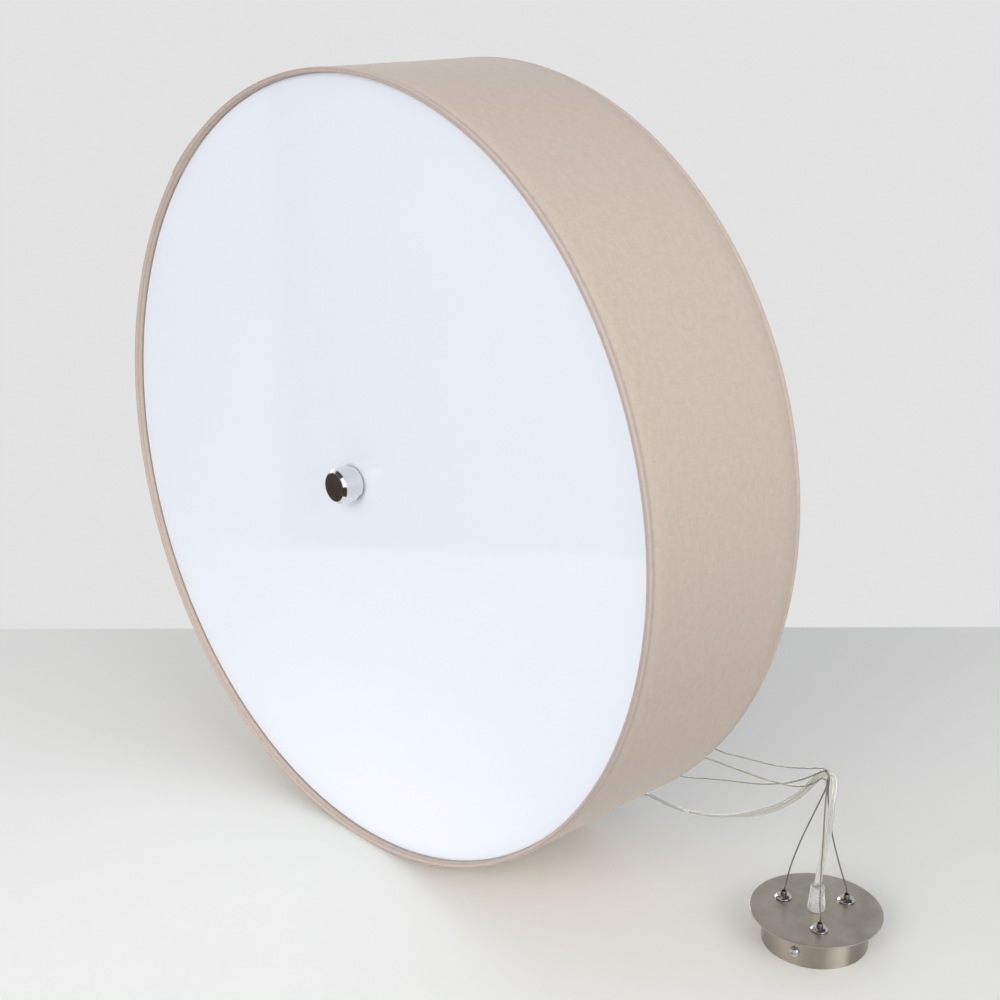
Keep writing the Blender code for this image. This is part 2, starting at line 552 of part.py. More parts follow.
def canopy_cup(canopy, look):
    """Round wall with a flange at the top that is fixed under the plate."""
    flange_r = CUP_R - CUP_FLANGE
    outline = [(CUP_INNER_R, 0), (CUP_R, 0), (CUP_R, CUP_TOP - CUP_CORNER), (CUP_R - CUP_CORNER, CUP_TOP),
               (flange_r, CUP_TOP), (flange_r, CUP_TOP - CUP_WALL),
               (CUP_INNER_R - CUP_CORNER, CUP_TOP - CUP_WALL), (CUP_INNER_R, CUP_TOP - CUP_WALL - CUP_CORNER)]
    cup = finish("canopy_cup", turned_mesh("canopy_cup", outline, MID_SIDES), canopy, look)
    for index, angle in enumerate((SCREW_ANGLE, SCREW_ANGLE + 180), 1):
        drill = cylinder_mesh(f"screw_hole_{index}", SCREW_R + SCREW_CLEAR, CUP_WALL + 2 * OVERRUN, SMALL_SIDES)
        place = around(angle, CUP_INNER_R - OVERRUN, SCREW_LEVEL)
        join_shape(cup, cutter(f"screw_hole_{index}", drill, canopy, place, radial_turn(angle)), "DIFFERENCE")
    return cup


def bracket_cuts(bracket, canopy, frame):
    """Wire hole, two slots for the ceiling's screws and a tapped hole in each ear."""
    drill = cylinder_mesh("wire_hole", WIRE_HOLE_R, BRACKET_T + 2 * OVERRUN, SMALL_SIDES)
    join_shape(bracket, cutter("wire_hole", drill, canopy, (0, 0, -OVERRUN)), "DIFFERENCE")
    slot_size = Vector((SLOT_LENGTH, SLOT_WIDTH, BRACKET_T + 2 * OVERRUN))
    for index, side in enumerate((1, -1), 1):
        slot = cutter(f"slot_{index}", box_mesh(f"slot_{index}", slot_size), frame)
        slot.location = (side * SLOT_SPREAD, 0, BRACKET_T / 2)
        join_shape(bracket, slot, "DIFFERENCE")
        tap_length = BRACKET_T + 2 * OVERRUN
        tap = cylinder_mesh(f"tapped_hole_{index}", SCREW_R + SCREW_CLEAR, tap_length, SMALL_SIDES)
        angle = SCREW_ANGLE if side > 0 else SCREW_ANGLE + 180
        place = around(angle, EAR_REACH - BRACKET_T - OVERRUN, SCREW_LEVEL)
        join_shape(bracket, cutter(f"tapped_hole_{index}", tap, canopy, place, radial_turn(angle)), "DIFFERENCE")


def mounting_bracket(canopy, look):
    """Flat strap that is screwed to the ceiling, with an ear bent up at each end inside the cup."""
    frame = empty("bracket_axis", (0, 0, 0), (0, 0, radians(SCREW_ANGLE)), canopy)
    mesh = bpy.data.meshes.new("mounting_bracket")
    bm = bmesh.new()
    half = (EAR_REACH ** 2 - (BRACKET_WIDTH / 2) ** 2) ** 0.5
    section = [(-half, 0), (half, 0), (half, EAR_HEIGHT), (half - BRACKET_T, EAR_HEIGHT),
               (half - BRACKET_T, BRACKET_T), (BRACKET_T - half, BRACKET_T), (BRACKET_T - half, EAR_HEIGHT),
               (-half, EAR_HEIGHT)]
    verts = [bm.verts.new((x, -BRACKET_WIDTH / 2, z)) for x, z in section]
    face = bm.faces.new(verts)
    grown = bmesh.ops.extrude_face_region(bm, geom=[face])
    moved = [item for item in grown["geom"] if isinstance(item, bmesh.types.BMVert)]
    bmesh.ops.translate(bm, vec=(0, BRACKET_WIDTH, 0), verts=moved)
    bmesh.ops.recalc_face_normals(bm, faces=bm.faces)
    bm.to_mesh(mesh)
    bm.free()
    bracket = finish("mounting_bracket", mesh, frame, look)
    bracket_cuts(bracket, canopy, frame)
    return bracket


def side_screws(canopy, look):
    """Pan-head screws through the cup into the bracket's ears."""
    head_foot = CUP_R + GAP
    rim = head_foot + SCREW_HEAD_T * SCREW_RIM_HEIGHT_SHARE
    crown = head_foot + SCREW_HEAD_T
    outline = [(0, head_foot - SCREW_LENGTH), (SCREW_R, head_foot - SCREW_LENGTH), (SCREW_R, head_foot),
               (SCREW_HEAD_R, head_foot), (SCREW_HEAD_R * SCREW_RIM_SHARE, rim),
               (SCREW_HEAD_R * SCREW_CROWN_SHARE, crown), (SOCKET_R, crown),
               (SOCKET_R, crown - SOCKET_DEPTH), (0, crown - SOCKET_DEPTH)]
    for index, angle in enumerate((SCREW_ANGLE, SCREW_ANGLE + 180), 1):
        name = f"side_screw_{index}"
        mesh = turned_mesh(name, outline, SMALL_SIDES, closed=False)
        finish(name, mesh, canopy, look, (0, 0, SCREW_LEVEL), radial_turn(angle))


def grippers(canopy, chrome, steel):
    """Wire grippers: a domed body through the plate, a nut below it, and a nozzle pressed to let go."""
    seat = CANOPY_HEIGHT + GAP
    guide_r = PLUNGER_R + PLUNGER_CLEAR
    guide_floor = -PLUNGER_DEPTH - PLUNGER_TRAVEL - GAP * 2
    through_r = PLUNGER_BORE_R + GAP
    shoulder = ((FLANGE_R + DOME_TOP_R) / 2, (FLANGE_EDGE + DOME_HEIGHT) * DOME_SHOULDER_SHARE)
    body = [(through_r, -SHANK_LENGTH), (SHANK_R, -SHANK_LENGTH), (SHANK_R, 0), (FLANGE_R, 0),
            (FLANGE_R, FLANGE_EDGE), shoulder, (DOME_TOP_R, DOME_HEIGHT), (guide_r, DOME_HEIGHT),
            (guide_r, guide_floor), (through_r, guide_floor)]
    top = DOME_HEIGHT + PLUNGER_PROUD
    low = DOME_HEIGHT - PLUNGER_DEPTH
    plunger = [(PLUNGER_BORE_R, low), (PLUNGER_R, low), (PLUNGER_R, top - PLUNGER_R * NOZZLE_CHAMFER_SHARE),
               (PLUNGER_R * NOZZLE_TOP_SHARE, top), (PLUNGER_BORE_R, top)]
    nut_top = PLATE_BOTTOM - GAP
    nut = tube_outline(GRIPPER_NUT_R, SHANK_R + SHANK_CLEAR, nut_top - GRIPPER_NUT_T, nut_top)
    for index, angle in enumerate(GRIPPER_ANGLES, 1):
        place = around(angle, GRIPPER_SPREAD)
        axis = empty(f"gripper_axis_{index}", place, parent=canopy)
        at_plate = (0, 0, seat)
        finish(f"gripper_body_{index}", turned_mesh("gripper_body", body, SMALL_SIDES), axis, chrome, at_plate)
        nozzle = turned_mesh("gripper_plunger", plunger, SMALL_SIDES)
        finish(f"gripper_plunger_{index}", nozzle, axis, chrome, at_plate)
        finish(f"gripper_nut_{index}", turned_mesh("gripper_nut", nut, HEX_SIDES), axis, steel)


def evenly_spaced(points, count):
    """The same line with a given number of points, evenly spaced along it."""
    marks = [0.0]
    for first, second in zip(points, points[1:]):
        marks.append(marks[-1] + (second - first).length)
    spaced = [points[0]]
    index = 0
    for step in range(1, count - 1):
        wanted = marks[-1] * step / (count - 1)
        while marks[index + 1] < wanted:
            index += 1
        share = (wanted - marks[index]) / (marks[index + 1] - marks[index])
        spaced.append(points[index].lerp(points[index + 1], share))
    spaced.append(points[-1])
    return spaced


def smooth_points(route, count):
    """Points spaced evenly along a smooth curve through a route's own points."""
    dense = []
    padded = [route[0] * 2 - route[1]] + list(route) + [route[-1] * 2 - route[-2]]
    for index in range(1, len(padded) - 2):
        before, start, end, after = padded[index - 1:index + 3]
        for step in range(ROUTE_STEPS):
            t = step / ROUTE_STEPS
            curve = 2 * start + (end - before) * t + (2 * before - 5 * start + 4 * end - after) * t * t
            dense.append((curve + (3 * start - before - 3 * end + after) * t * t * t) / 2)
    dense.append(route[-1])
    fine = evenly_spaced(dense, FINE_POINTS)
    for _ in range(EASING_PASSES):
        eased = [(a + 2 * b + c) / 4 for a, b, c in zip(fine, fine[1:], fine[2:])]
        fine = [fine[0]] + eased + [fine[-1]]
    return evenly_spaced(fine, count)


def cord(name, route, radius, count, sides_step, base, look):
    points = smooth_points([Vector(point) for point in route], count)
    data = bpy.data.curves.new(name, "CURVE")
    data.dimensions = "3D"
    data.bevel_depth = radius
    data.bevel_resolution = sides_step
    data.use_fill_caps = True
    line = data.splines.new("POLY")
    line.points.add(count - 1)
    for knot, point in zip(line.points, points):
        knot.co = (*point, 1)
    data.materials.append(look)
    piece = bpy.data.objects.new(name, data)
    bpy.context.collection.objects.link(piece)
    piece.parent = base
    length = sum((second - first).length for first, second in zip(points, points[1:]))
    print(f"{name} length {length:.4f} m")
    return points


def cords(base, steel, clear):
    """Three steel wires and the flat flex, whose clip rides on it."""
    for index, route in enumerate(WIRE_ROUTES, 1):
        cord(f"wire_{index}", route, WIRE_R, WIRE_POINTS, 2, base, steel)
    points = cord("flex_cord", FLEX_ROUTE, FLEX_R, FLEX_POINTS, 2, base, clear)
    spot = round(CLIP_SHARE * (FLEX_POINTS - 1))
    along = points[spot + 1] - points[spot - 1]
    turn = along.to_track_quat("Z", "Y").to_euler()
    outline = tube_outline(CLIP_R, FLEX_R + 2 * GAP, -CLIP_LENGTH / 2, CLIP_LENGTH / 2)
    finish("cord_clip", turned_mesh("cord_clip", outline, SMALL_SIDES), base, clear, points[spot], turn)


def main():
    clear_scene()
    fabric = material("taupe_fabric", (0.62, 0.52, 0.43), 0.9)
    backing = material("white_backing", (0.85, 0.83, 0.78), 0.6)
    acrylic = material("opal_acrylic", (0.90, 0.91, 0.94), 0.12)
    nickel = material("brushed_nickel", (0.46, 0.43, 0.39), 0.35, 1.0)
    chrome = material("chrome", (0.75, 0.75, 0.75), 0.08, 1.0)
    zinc = material("zinc_plated_steel", (0.60, 0.60, 0.58), 0.35, 1.0)
    enamel = material("white_enamel", (0.85, 0.85, 0.83), 0.4)
    clear = material("clear_plastic", (0.85, 0.86, 0.84), 0.15, 0.0, 0.4)
    wire = material("steel_wire", (0.40, 0.39, 0.36), 0.35, 1.0)
    holder = material("holder_plastic", (0.80, 0.79, 0.75), 0.5)
    cap = material("bulb_cap_metal", (0.70, 0.69, 0.66), 0.3, 1.0)
    glass = material("bulb_glass", (0.93, 0.93, 0.92), 0.25)
    rubber = material("washer_rubber", (0.80, 0.80, 0.78), 0.7)

    base = empty("light", DRUM_PLACE)
    drum = empty("drum_axis", (0, 0, SHADE_R), (-pi / 2, 0, 0), base)
    canopy = empty("canopy_axis", (CANOPY_REACH, CANOPY_BACK, 0), parent=base)
    shade_cover(drum, fabric)
    shade_lining(drum, backing)
    front_ring(drum, zinc)
    back_frame(drum, enamel)
    hub(drum, enamel)
    rod_and_nuts(drum, zinc)
    diffuser(drum, acrylic, chrome, rubber)
    lamps(drum, {"holder": holder, "zinc": zinc, "cap": cap, "glass": glass})
    terminal_blocks(drum, canopy, holder)
    cord_grips(drum, canopy, clear, zinc)
    wire_anchors(drum, chrome)
    canopy_plate(canopy, nickel)
    canopy_cup(canopy, nickel)
    mounting_bracket(canopy, zinc)
    side_screws(canopy, chrome)
    grippers(canopy, chrome, zinc)
    cords(base, wire, clear)


main()
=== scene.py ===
"""Looks of a drum pendant light that lies on the floor, laid out as an add-on and run as a script.

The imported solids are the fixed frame. Each operator models one piece, or one group of like pieces, in the
place of its solids. Metres, +Z up; the drum's axis runs along Y, with its diffuser facing -Y.
"""
import math

import bmesh
import bpy
from bpy.props import FloatProperty, FloatVectorProperty, PointerProperty
from bpy.types import Operator, Panel, PropertyGroup
from mathutils import Matrix, Vector


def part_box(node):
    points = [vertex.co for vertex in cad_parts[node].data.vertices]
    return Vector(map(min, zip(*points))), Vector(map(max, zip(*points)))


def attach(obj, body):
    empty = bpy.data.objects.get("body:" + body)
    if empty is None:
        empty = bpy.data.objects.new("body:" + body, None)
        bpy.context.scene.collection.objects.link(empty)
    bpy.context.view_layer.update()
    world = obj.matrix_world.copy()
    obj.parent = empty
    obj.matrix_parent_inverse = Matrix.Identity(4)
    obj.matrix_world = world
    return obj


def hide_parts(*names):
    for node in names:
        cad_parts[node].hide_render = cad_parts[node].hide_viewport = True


bl_info = {
    "name": "Drum pendant light",
    "version": (1, 0, 0),
    "blender": (4, 5, 0),
    "location": "View3D > Sidebar > Pendant",
    "description": "Models a fabric drum pendant light around its packed solids",
    "category": "Object",
}

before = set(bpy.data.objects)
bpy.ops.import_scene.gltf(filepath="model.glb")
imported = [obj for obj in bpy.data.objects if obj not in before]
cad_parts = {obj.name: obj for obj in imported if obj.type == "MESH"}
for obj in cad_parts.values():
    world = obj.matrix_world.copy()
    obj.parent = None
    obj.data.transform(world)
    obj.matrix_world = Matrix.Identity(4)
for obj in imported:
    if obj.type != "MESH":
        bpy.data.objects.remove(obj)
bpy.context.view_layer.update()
SHADE_LOW, SHADE_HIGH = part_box("shade_cover")
PLATE_LOW, PLATE_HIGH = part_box("canopy_plate")
SHADE_R = round((SHADE_HIGH.x - SHADE_LOW.x) / 2, 4)
SHADE_DEPTH = round(SHADE_HIGH.y - SHADE_LOW.y, 4)
DRUM_FRONT = Vector(((SHADE_LOW.x + SHADE_HIGH.x) / 2, SHADE_LOW.y, 0.0))
DRUM = Matrix.Translation(DRUM_FRONT + Vector((0, 0, SHADE_R))) @ Matrix.Rotation(-math.pi / 2, 4, "X")
CANOPY_CENTRE = Vector(((PLATE_LOW.x + PLATE_HIGH.x) / 2, (PLATE_LOW.y + PLATE_HIGH.y) / 2, 0.0))
CANOPY = Matrix.Translation(CANOPY_CENTRE)

GAP = 0.0003
MERGE_DISTANCE = 0.000001
ARC_STEPS = 5                   # facets round each rounded corner of a profile
BIG_STEPS, MID_STEPS, SMALL_STEPS, TINY_STEPS = 240, 96, 48, 24     # round a turned piece

# Sizes shared with the solids
COVER_T = 0.0006
LINING_T = 0.0005
BEAD_R = 0.0018
RING_WIRE_R = 0.0009
RING_CENTRE_R = 0.2982
ARM_DEPTH = 0.1493
ARM_R = 0.0015
ROD_R = 0.005
ROD_BORE = 0.0034
ROD_HOLE_R = 0.0056
ANCHOR_SPREAD = 0.075
LAMP_DEPTH = 0.078
LAMP_ANGLES = (90, 210, 330)
CANOPY_HEIGHT = 0.0245
PLATE_T = 0.0012
CUP_R = 0.0382
SCREW_ANGLES = (-75.4, 104.6)
SCREW_LEVEL = 0.0107
GRIPPER_SPREAD = 0.026
GRIPPER_ANGLES = (-48.7, 71.3, 191.3)
GRIP_BASE_R = 0.0064
GRIP_TOP_R = 0.0051
GRIP_HEIGHT = 0.0183
GRIP_BORE = 0.0031
WIRE_R = 0.00055
FLEX_R = 0.0026

# Routes from drum to canopy in tenths of a millimetre: x and y from the drum's front centre, z from the floor
ROUTE_UNIT = 0.0001
WIRE_ROUTES = (
    ((0, 1599, 3750), (4, 1690, 3741), (30, 1790, 3660), (85, 1850, 3430), (190, 1880, 2920),
     (380, 1895, 2260), (700, 1900, 1620), (1140, 1890, 1160), (1640, 1860, 970), (2160, 1791, 978),
     (2372, 1755, 1023), (2575, 1723, 1072), (2764, 1691, 1121), (2961, 1653, 1192), (3117, 1615, 1261),
     (3234, 1579, 1323), (3307, 1558, 1352), (3343, 1549, 1342), (3348, 1549, 1290), (3351, 1537, 1193),
     (3378, 1496, 1038), (3407, 1457, 867), (3441, 1412, 676), (3485, 1358, 455), (3506, 1348, 353),
     (3510, 1343, 301)),
    ((-650, 1599, 2625), (-652, 1700, 2615), (-655, 1800, 2530), (-640, 1850, 2300), (-560, 1885, 1850),
     (-380, 1900, 1360), (-80, 1910, 980), (350, 1910, 730), (850, 1890, 640), (1350, 1860, 680),
     (1750, 1820, 750), (2084, 1769, 880), (2287, 1737, 915), (2487, 1702, 953), (2676, 1662, 993),
     (2862, 1620, 1043), (3012, 1583, 1091), (3147, 1551, 1153), (3236, 1530, 1218), (3301, 1512, 1283),
     (3346, 1505, 1321), (3369, 1507, 1305), (3369, 1507, 1256), (3344, 1504, 1179), (3281, 1505, 1010),
     (3193, 1505, 770), (3124, 1495, 526), (3093, 1490, 353), (3083, 1487, 301)),
    ((650, 1599, 2625), (653, 1690, 2616), (675, 1770, 2540), (715, 1805, 2310), (780, 1815, 1900),
     (890, 1820, 1450), (1060, 1820, 1010), (1290, 1815, 720), (1570, 1800, 610), (1816, 1790, 613),
     (2074, 1758, 708), (2325, 1734, 800), (2529, 1703, 873), (2712, 1679, 946), (2914, 1646, 1048),
     (3037, 1617, 1126), (3135, 1598, 1197), (3218, 1584, 1264), (3286, 1573, 1320), (3322, 1580, 1324),
     (3331, 1589, 1272), (3324, 1594, 1176), (3323, 1623, 1013), (3338, 1673, 781), (3380, 1734, 524),
     (3417, 1778, 353), (3421, 1784, 301)),
)
FLEX_ROUTE = (
    (0, 1748, 3000), (3, 1840, 2992), (20, 1920, 2930), (60, 1965, 2760), (120, 1985, 2350),
    (180, 1985, 1800), (260, 1980, 1250), (380, 1970, 760), (580, 1950, 370), (880, 1910, 170),
    (1180, 1870, 170), (1458, 1802, 297), (1673, 1790, 308), (1875, 1772, 342), (2083, 1753, 400),
    (2242, 1740, 458), (2387, 1727, 523), (2618, 1704, 651), (2826, 1677, 795), (2977, 1656, 933),
    (3087, 1641, 1056), (3179, 1623, 1178), (3239, 1614, 1256), (3291, 1629, 1292), (3331, 1648, 1254),
    (3351, 1632, 1189), (3364, 1600, 1103), (3363, 1582, 909), (3350, 1566, 725), (3340, 1545, 559),
    (3338, 1538, 488), (3338, 1538, 434),
)
ROUTE_STEPS = 16
FINE_POINTS = 640
EASING_PASSES = 6
WIRE_POINTS = 160
FLEX_POINTS = 180
CLIP_SHARE = 0.625
TWIST = math.radians(68)
TWIST_START = 0.68
TWIST_END = 0.75


# ---------------------------------------------------------------- settings

def length(name, description, default):
    return FloatProperty(name=name, description=description, default=default, unit="LENGTH", precision=5)


def color(name, description, default):
    return FloatVectorProperty(name=name, description=description, default=default, size=3, min=0, max=1,
                               subtype="COLOR")


class ShadeSettings(PropertyGroup):
    radius: length("Radius", "Outer radius of the drum", SHADE_R)
    depth: length("Depth", "Front rim to back rim", SHADE_DEPTH)
    bead: length("Rim bead", "Radius of the fabric rolled over each ring", BEAD_R)
    lap: FloatProperty(name="Lap", description="Part of a turn by which the fabric overlaps at its seam",
                       default=math.radians(4.5), subtype="ANGLE")
    pitch: length("Thread pitch", "Distance between two threads of the fabric", 0.00048)
    warp: color("Warp colour", "Lighter threads of the fabric", (0.660, 0.555, 0.464))
    weft: color("Weft colour", "Darker threads of the fabric", (0.555, 0.458, 0.376))
    backing: color("Backing", "White backing inside the drum", (0.80, 0.78, 0.73))


class DiffuserSettings(PropertyGroup):
    radius: length("Radius", "Radius of the opal disc", 0.2960)
    thickness: length("Thickness", "Thickness of the opal disc", 0.003)
    recess: length("Recess", "Front rim to the disc's face", 0.0066)
    opal: color("Opal", "Opal acrylic", (0.80, 0.825, 0.88))
    knob_radius: length("Knob radius", "Radius at the knob's front", 0.0130)
    knob_back_radius: length("Knob back radius", "Radius at the knob's back", 0.0141)


class LampSettings(PropertyGroup):
    bulb_radius: length("Bulb radius", "Radius of the bulb's globe", 0.030)
    bulb_length: length("Bulb length", "Contact to crown", 0.105)
    glass: color("Glass", "White glass of the bulbs", (0.86, 0.86, 0.84))
    holder: color("Lampholder", "Moulded plastic of the lampholders", (0.72, 0.70, 0.64))
    enamel: color("Frame", "Powder coat of the frame and the hub", (0.78, 0.78, 0.76))


class CanopySettings(PropertyGroup):
    plate_radius: length("Plate radius", "Radius of the canopy's plate", 0.0475)
    cup_radius: length("Cup radius", "Radius of the canopy's cup", CUP_R)
    nickel: color("Nickel", "Satin nickel", (0.475, 0.43, 0.37))
    chrome: color("Chrome", "Polished chrome", (0.80, 0.80, 0.81))
    zinc: color("Zinc", "Zinc-plated steel", (0.60, 0.60, 0.57))


class CordSettings(PropertyGroup):
    wire_radius: length("Wire radius", "Radius of the steel wires", WIRE_R)
    flex_half_width: length("Flex half width", "Half the width of the flat flex", FLEX_R)
    wire: color("Wire", "Stainless wire rope", (0.40, 0.385, 0.35))
    jacket: color("Jacket", "Clear jacket of the flex", (0.97, 0.97, 0.94))


class StageSettings(PropertyGroup):
    camera: FloatVectorProperty(name="Camera", description="Place of the camera",
                                default=(0.87045, -0.79015, 0.6811), size=3, subtype="XYZ", unit="LENGTH")
    turn: FloatVectorProperty(name="Camera turn", description="Turn of the camera",
                              default=(math.radians(70.95), 0, math.radians(46.96)), size=3, subtype="EULER")
    lens: FloatProperty(name="Lens", description="Focal length in millimetres", default=58.2)
    floor: color("Floor", "Pale floor", (0.885, 0.880, 0.840))


# ---------------------------------------------------------------- modelling by operators

def deselect():
    if bpy.context.mode != "OBJECT":
        bpy.ops.object.mode_set(mode="OBJECT")
    bpy.ops.object.select_all(action="DESELECT")


def pick(piece):
    deselect()
    piece.select_set(True)
    bpy.context.view_layer.objects.active = piece


def settle(piece, place):
    """Puts the piece in its place and leaves that place in its mesh."""
    pick(piece)
    piece.matrix_world = place @ piece.matrix_world
    bpy.ops.object.transform_apply(location=True, rotation=True, scale=True)
    return piece


def clean_up(smooth=30):
    """Merges doubles and points the faces outwards, in edit mode, then shades the piece."""
    bpy.ops.mesh.select_all(action="SELECT")
    bpy.ops.mesh.remove_doubles(threshold=MERGE_DISTANCE)
    bpy.ops.mesh.normals_make_consistent(inside=False)
    bpy.ops.object.mode_set(mode="OBJECT")
    bpy.ops.object.shade_smooth_by_angle(angle=math.radians(smooth))


def rounded(corners):
    """Profile points, with an arc for each corner that gives its radius as a third number."""
    points = []
    for index, (across, along, *cut) in enumerate(corners):
        here = Vector((across, along))
        if not cut:
            points.append(here)
            continue
        before = (Vector(corners[index - 1][:2]) - here).normalized()
        after = (Vector(corners[(index + 1) % len(corners)][:2]) - here).normalized()
        half = before.angle(after) / 2
        centre = here + (before + after).normalized() * cut[0] / math.sin(half)
        first = here + before * cut[0] / math.tan(half) - centre
        last = here + after * cut[0] / math.tan(half) - centre
        sweep = first.angle_signed(last)
        for step in range(ARC_STEPS + 1):
            turn = -sweep * step / ARC_STEPS
            points.append(centre + Matrix.Rotation(turn, 2) @ first)
    return points


def arc(centre_r, centre_h, radius, first, last, steps):
    """Profile points of an arc, between two angles in degrees."""
    turns = [math.radians(first + (last - first) * step / steps) for step in range(steps + 1)]
    return [(centre_r + radius * math.cos(t), centre_h + radius * math.sin(t)) for t in turns]


def draw_profile(name, points):
    """Merges a small plane to one vertex and extrudes it along the profile, in the XZ plane."""
    deselect()
    bpy.ops.mesh.primitive_plane_add(size=GAP, location=(0, 0, 0))
    piece = bpy.context.object
    piece.name = name
    bpy.ops.object.mode_set(mode="EDIT")
    bpy.ops.mesh.select_all(action="SELECT")
    bpy.ops.mesh.merge(type="CENTER")
    bpy.ops.transform.translate(value=(points[0][0], 0, points[0][1]))
    for (r_0, h_0), (r_1, h_1) in zip(points, points[1:]):
        bpy.ops.mesh.extrude_region_move(TRANSFORM_OT_translate={"value": (r_1 - r_0, 0, h_1 - h_0)})
    bpy.ops.mesh.select_all(action="SELECT")
    return piece


def turned(name, corners, steps, place=DRUM, smooth=30):
    """Spins a profile of (radius, height) corners round local Z, closed unless it starts on that axis."""
    points = rounded(corners)
    if points[0].x:
        points.append(points[0])
    piece = draw_profile(name, points)
    bpy.ops.mesh.spin(steps=steps, angle=math.tau, center=(0, 0, 0), axis=(0, 0, 1))
    clean_up(smooth)
    return settle(piece, place)


def tube(outer, inner, low, high, edge=0.0):
    """Corners of a plain ring's profile, with rounded outer corners."""
    if not edge:
        return [(inner, low), (outer, low), (outer, high), (inner, high)]
    return [(inner, low), (outer, low, edge), (outer, high, edge), (inner, high)]


def joined(name, pieces):
    pick(pieces[0])
    for piece in pieces[1:]:
        piece.select_set(True)
    if len(pieces) > 1:
        bpy.ops.object.join()
    bpy.context.object.name = name
    return bpy.context.object


def apply_modifier(piece, kind, **settings):
    pick(piece)
    change = piece.modifiers.new(kind.lower(), kind)
    for key, value in settings.items():
        setattr(change, key, value)
    bpy.ops.object.modifier_apply(modifier=change.name)
    return piece


def bevelled(piece, width, angle):
    apply_modifier(piece, "BEVEL", width=width, segments=3, limit_method="ANGLE",
                   angle_limit=math.radians(angle))
    bpy.ops.object.shade_smooth_by_angle(angle=math.radians(angle))
    return piece


def flat_shaded(piece):
    """Keeps wide flat faces flat in their shading, beside their rounded edges."""
    return apply_modifier(piece, "WEIGHTED_NORMAL", keep_sharp=True)


def cut_out(piece, tool):
    apply_modifier(piece, "BOOLEAN", operation="DIFFERENCE", solver="EXACT", object=tool)
    bpy.ops.object.shade_smooth_by_angle(angle=math.radians(30))
    bpy.data.objects.remove(tool, do_unlink=True)
    return piece


def spoke(angle, height):
    """Turns a piece's own Z outwards at an angle round the drum, 0 towards +X and 90 up."""
    turn = Matrix.Rotation(math.radians(-angle), 4, "Z") @ Matrix.Rotation(math.pi / 2, 4, "Y")
    return DRUM @ Matrix.Translation((0, 0, height)) @ turn


def round_drum(angle, radius, height=0.0):
    turn = math.radians(-angle)
    return DRUM @ Matrix.Translation((radius * math.cos(turn), radius * math.sin(turn), height))


def round_canopy(angle, radius, height):
    turn = math.radians(angle)
    return CANOPY @ Matrix.Translation((radius * math.cos(turn), radius * math.sin(turn), height))


def finish_piece(piece, look, nodes=(), body="root"):
    """Gives a finished piece its material and slot, its body and the solids that it stands for."""
    piece.data.materials.clear()
    piece.data.materials.append(LOOKS[look])
    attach(piece, body)
    if nodes:
        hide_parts(*nodes)
    return piece


def lathed(name, corners, steps, look, nodes, place=DRUM, body="root", smooth=30):
    """Turns a piece and finishes it."""
    return finish_piece(turned(name, corners, steps, place, smooth), look, nodes, body)


def eased(share):
    """A share from 0 to 1 that starts and ends softly."""
    share = max(0.0, min(1.0, share))
    return share * share * (3 - 2 * share)


# ---------------------------------------------------------------- node groups

def node(tree, kind, values=None, **settings):
    """A new shader node with its settings, and its inputs fed."""
    made = tree.nodes.new("ShaderNode" + kind)
    for key, value in settings.items():
        setattr(made, key, value)
    return feed(tree, made, values or {})


def feed(tree, target, values):
    """Links or sets each named or numbered input of a node."""
    for key, value in values.items():
        if isinstance(value, bpy.types.NodeSocket):
            tree.links.new(value, target.inputs[key])
        else:
            target.inputs[key].default_value = value
    return target


def math_node(tree, operation, first, second=0.0, third=0.0):
    """The result of a sum on values or sockets."""
    return node(tree, "Math", {0: first, 1: second, 2: third}, operation=operation).outputs[0]


def mixed_color(tree, factor, first, second, **settings):
    return node(tree, "Mix", {0: factor, 6: first, 7: second}, data_type="RGBA", **settings).outputs[2]


def stretched_noise(tree, vector, scale, detail=2.0):
    """Noise on a vector that is scaled on each axis."""
    scaled = node(tree, "VectorMath", {0: vector, 1: scale}, operation="MULTIPLY").outputs[0]
    return node(tree, "TexNoise", {"Vector": scaled, "Scale": 1.0, "Detail": detail,
                                   "Roughness": 0.55}).outputs["Fac"]


def spread(tree, value, from_low=0.33, from_high=0.67, low=0.0, high=1.0):
    """A value brought from one range to another, without passing its ends."""
    return node(tree, "MapRange", {0: value, 1: from_low, 2: from_high, 3: low, 4: high}).outputs[0]


def new_group(name, values, colors, outputs):
    """A group on a vector, with its values, colours and outputs by name, and its two end nodes."""
    tree = bpy.data.node_groups.new(name, "ShaderNodeTree")
    for socket, default in {"Vector": (0, 0, 0), **values}.items():
        kind = "NodeSocketVector" if isinstance(default, tuple) else "NodeSocketFloat"
        tree.interface.new_socket(socket, in_out="INPUT", socket_type=kind).default_value = default
    for socket in colors:
        tree.interface.new_socket(socket, in_out="INPUT", socket_type="NodeSocketColor")
    for socket in outputs:
        kind = "NodeSocketColor" if socket == "Color" else "NodeSocketFloat"
        tree.interface.new_socket(socket, in_out="OUTPUT", socket_type=kind)
    return tree, tree.nodes.new("NodeGroupInput").outputs, tree.nodes.new("NodeGroupOutput")


def two_tones(tree, start, end, share, height):
    """Ends a group with a colour and a roughness between its two, and a height."""
    feed(tree, end, {"Color": mixed_color(tree, share, start["First"], start["Second"]),
                     "Roughness": spread(tree, share, 0.0, 1.0, start["Smooth"], start["Rough"]),
                     "Height": height})
    return tree


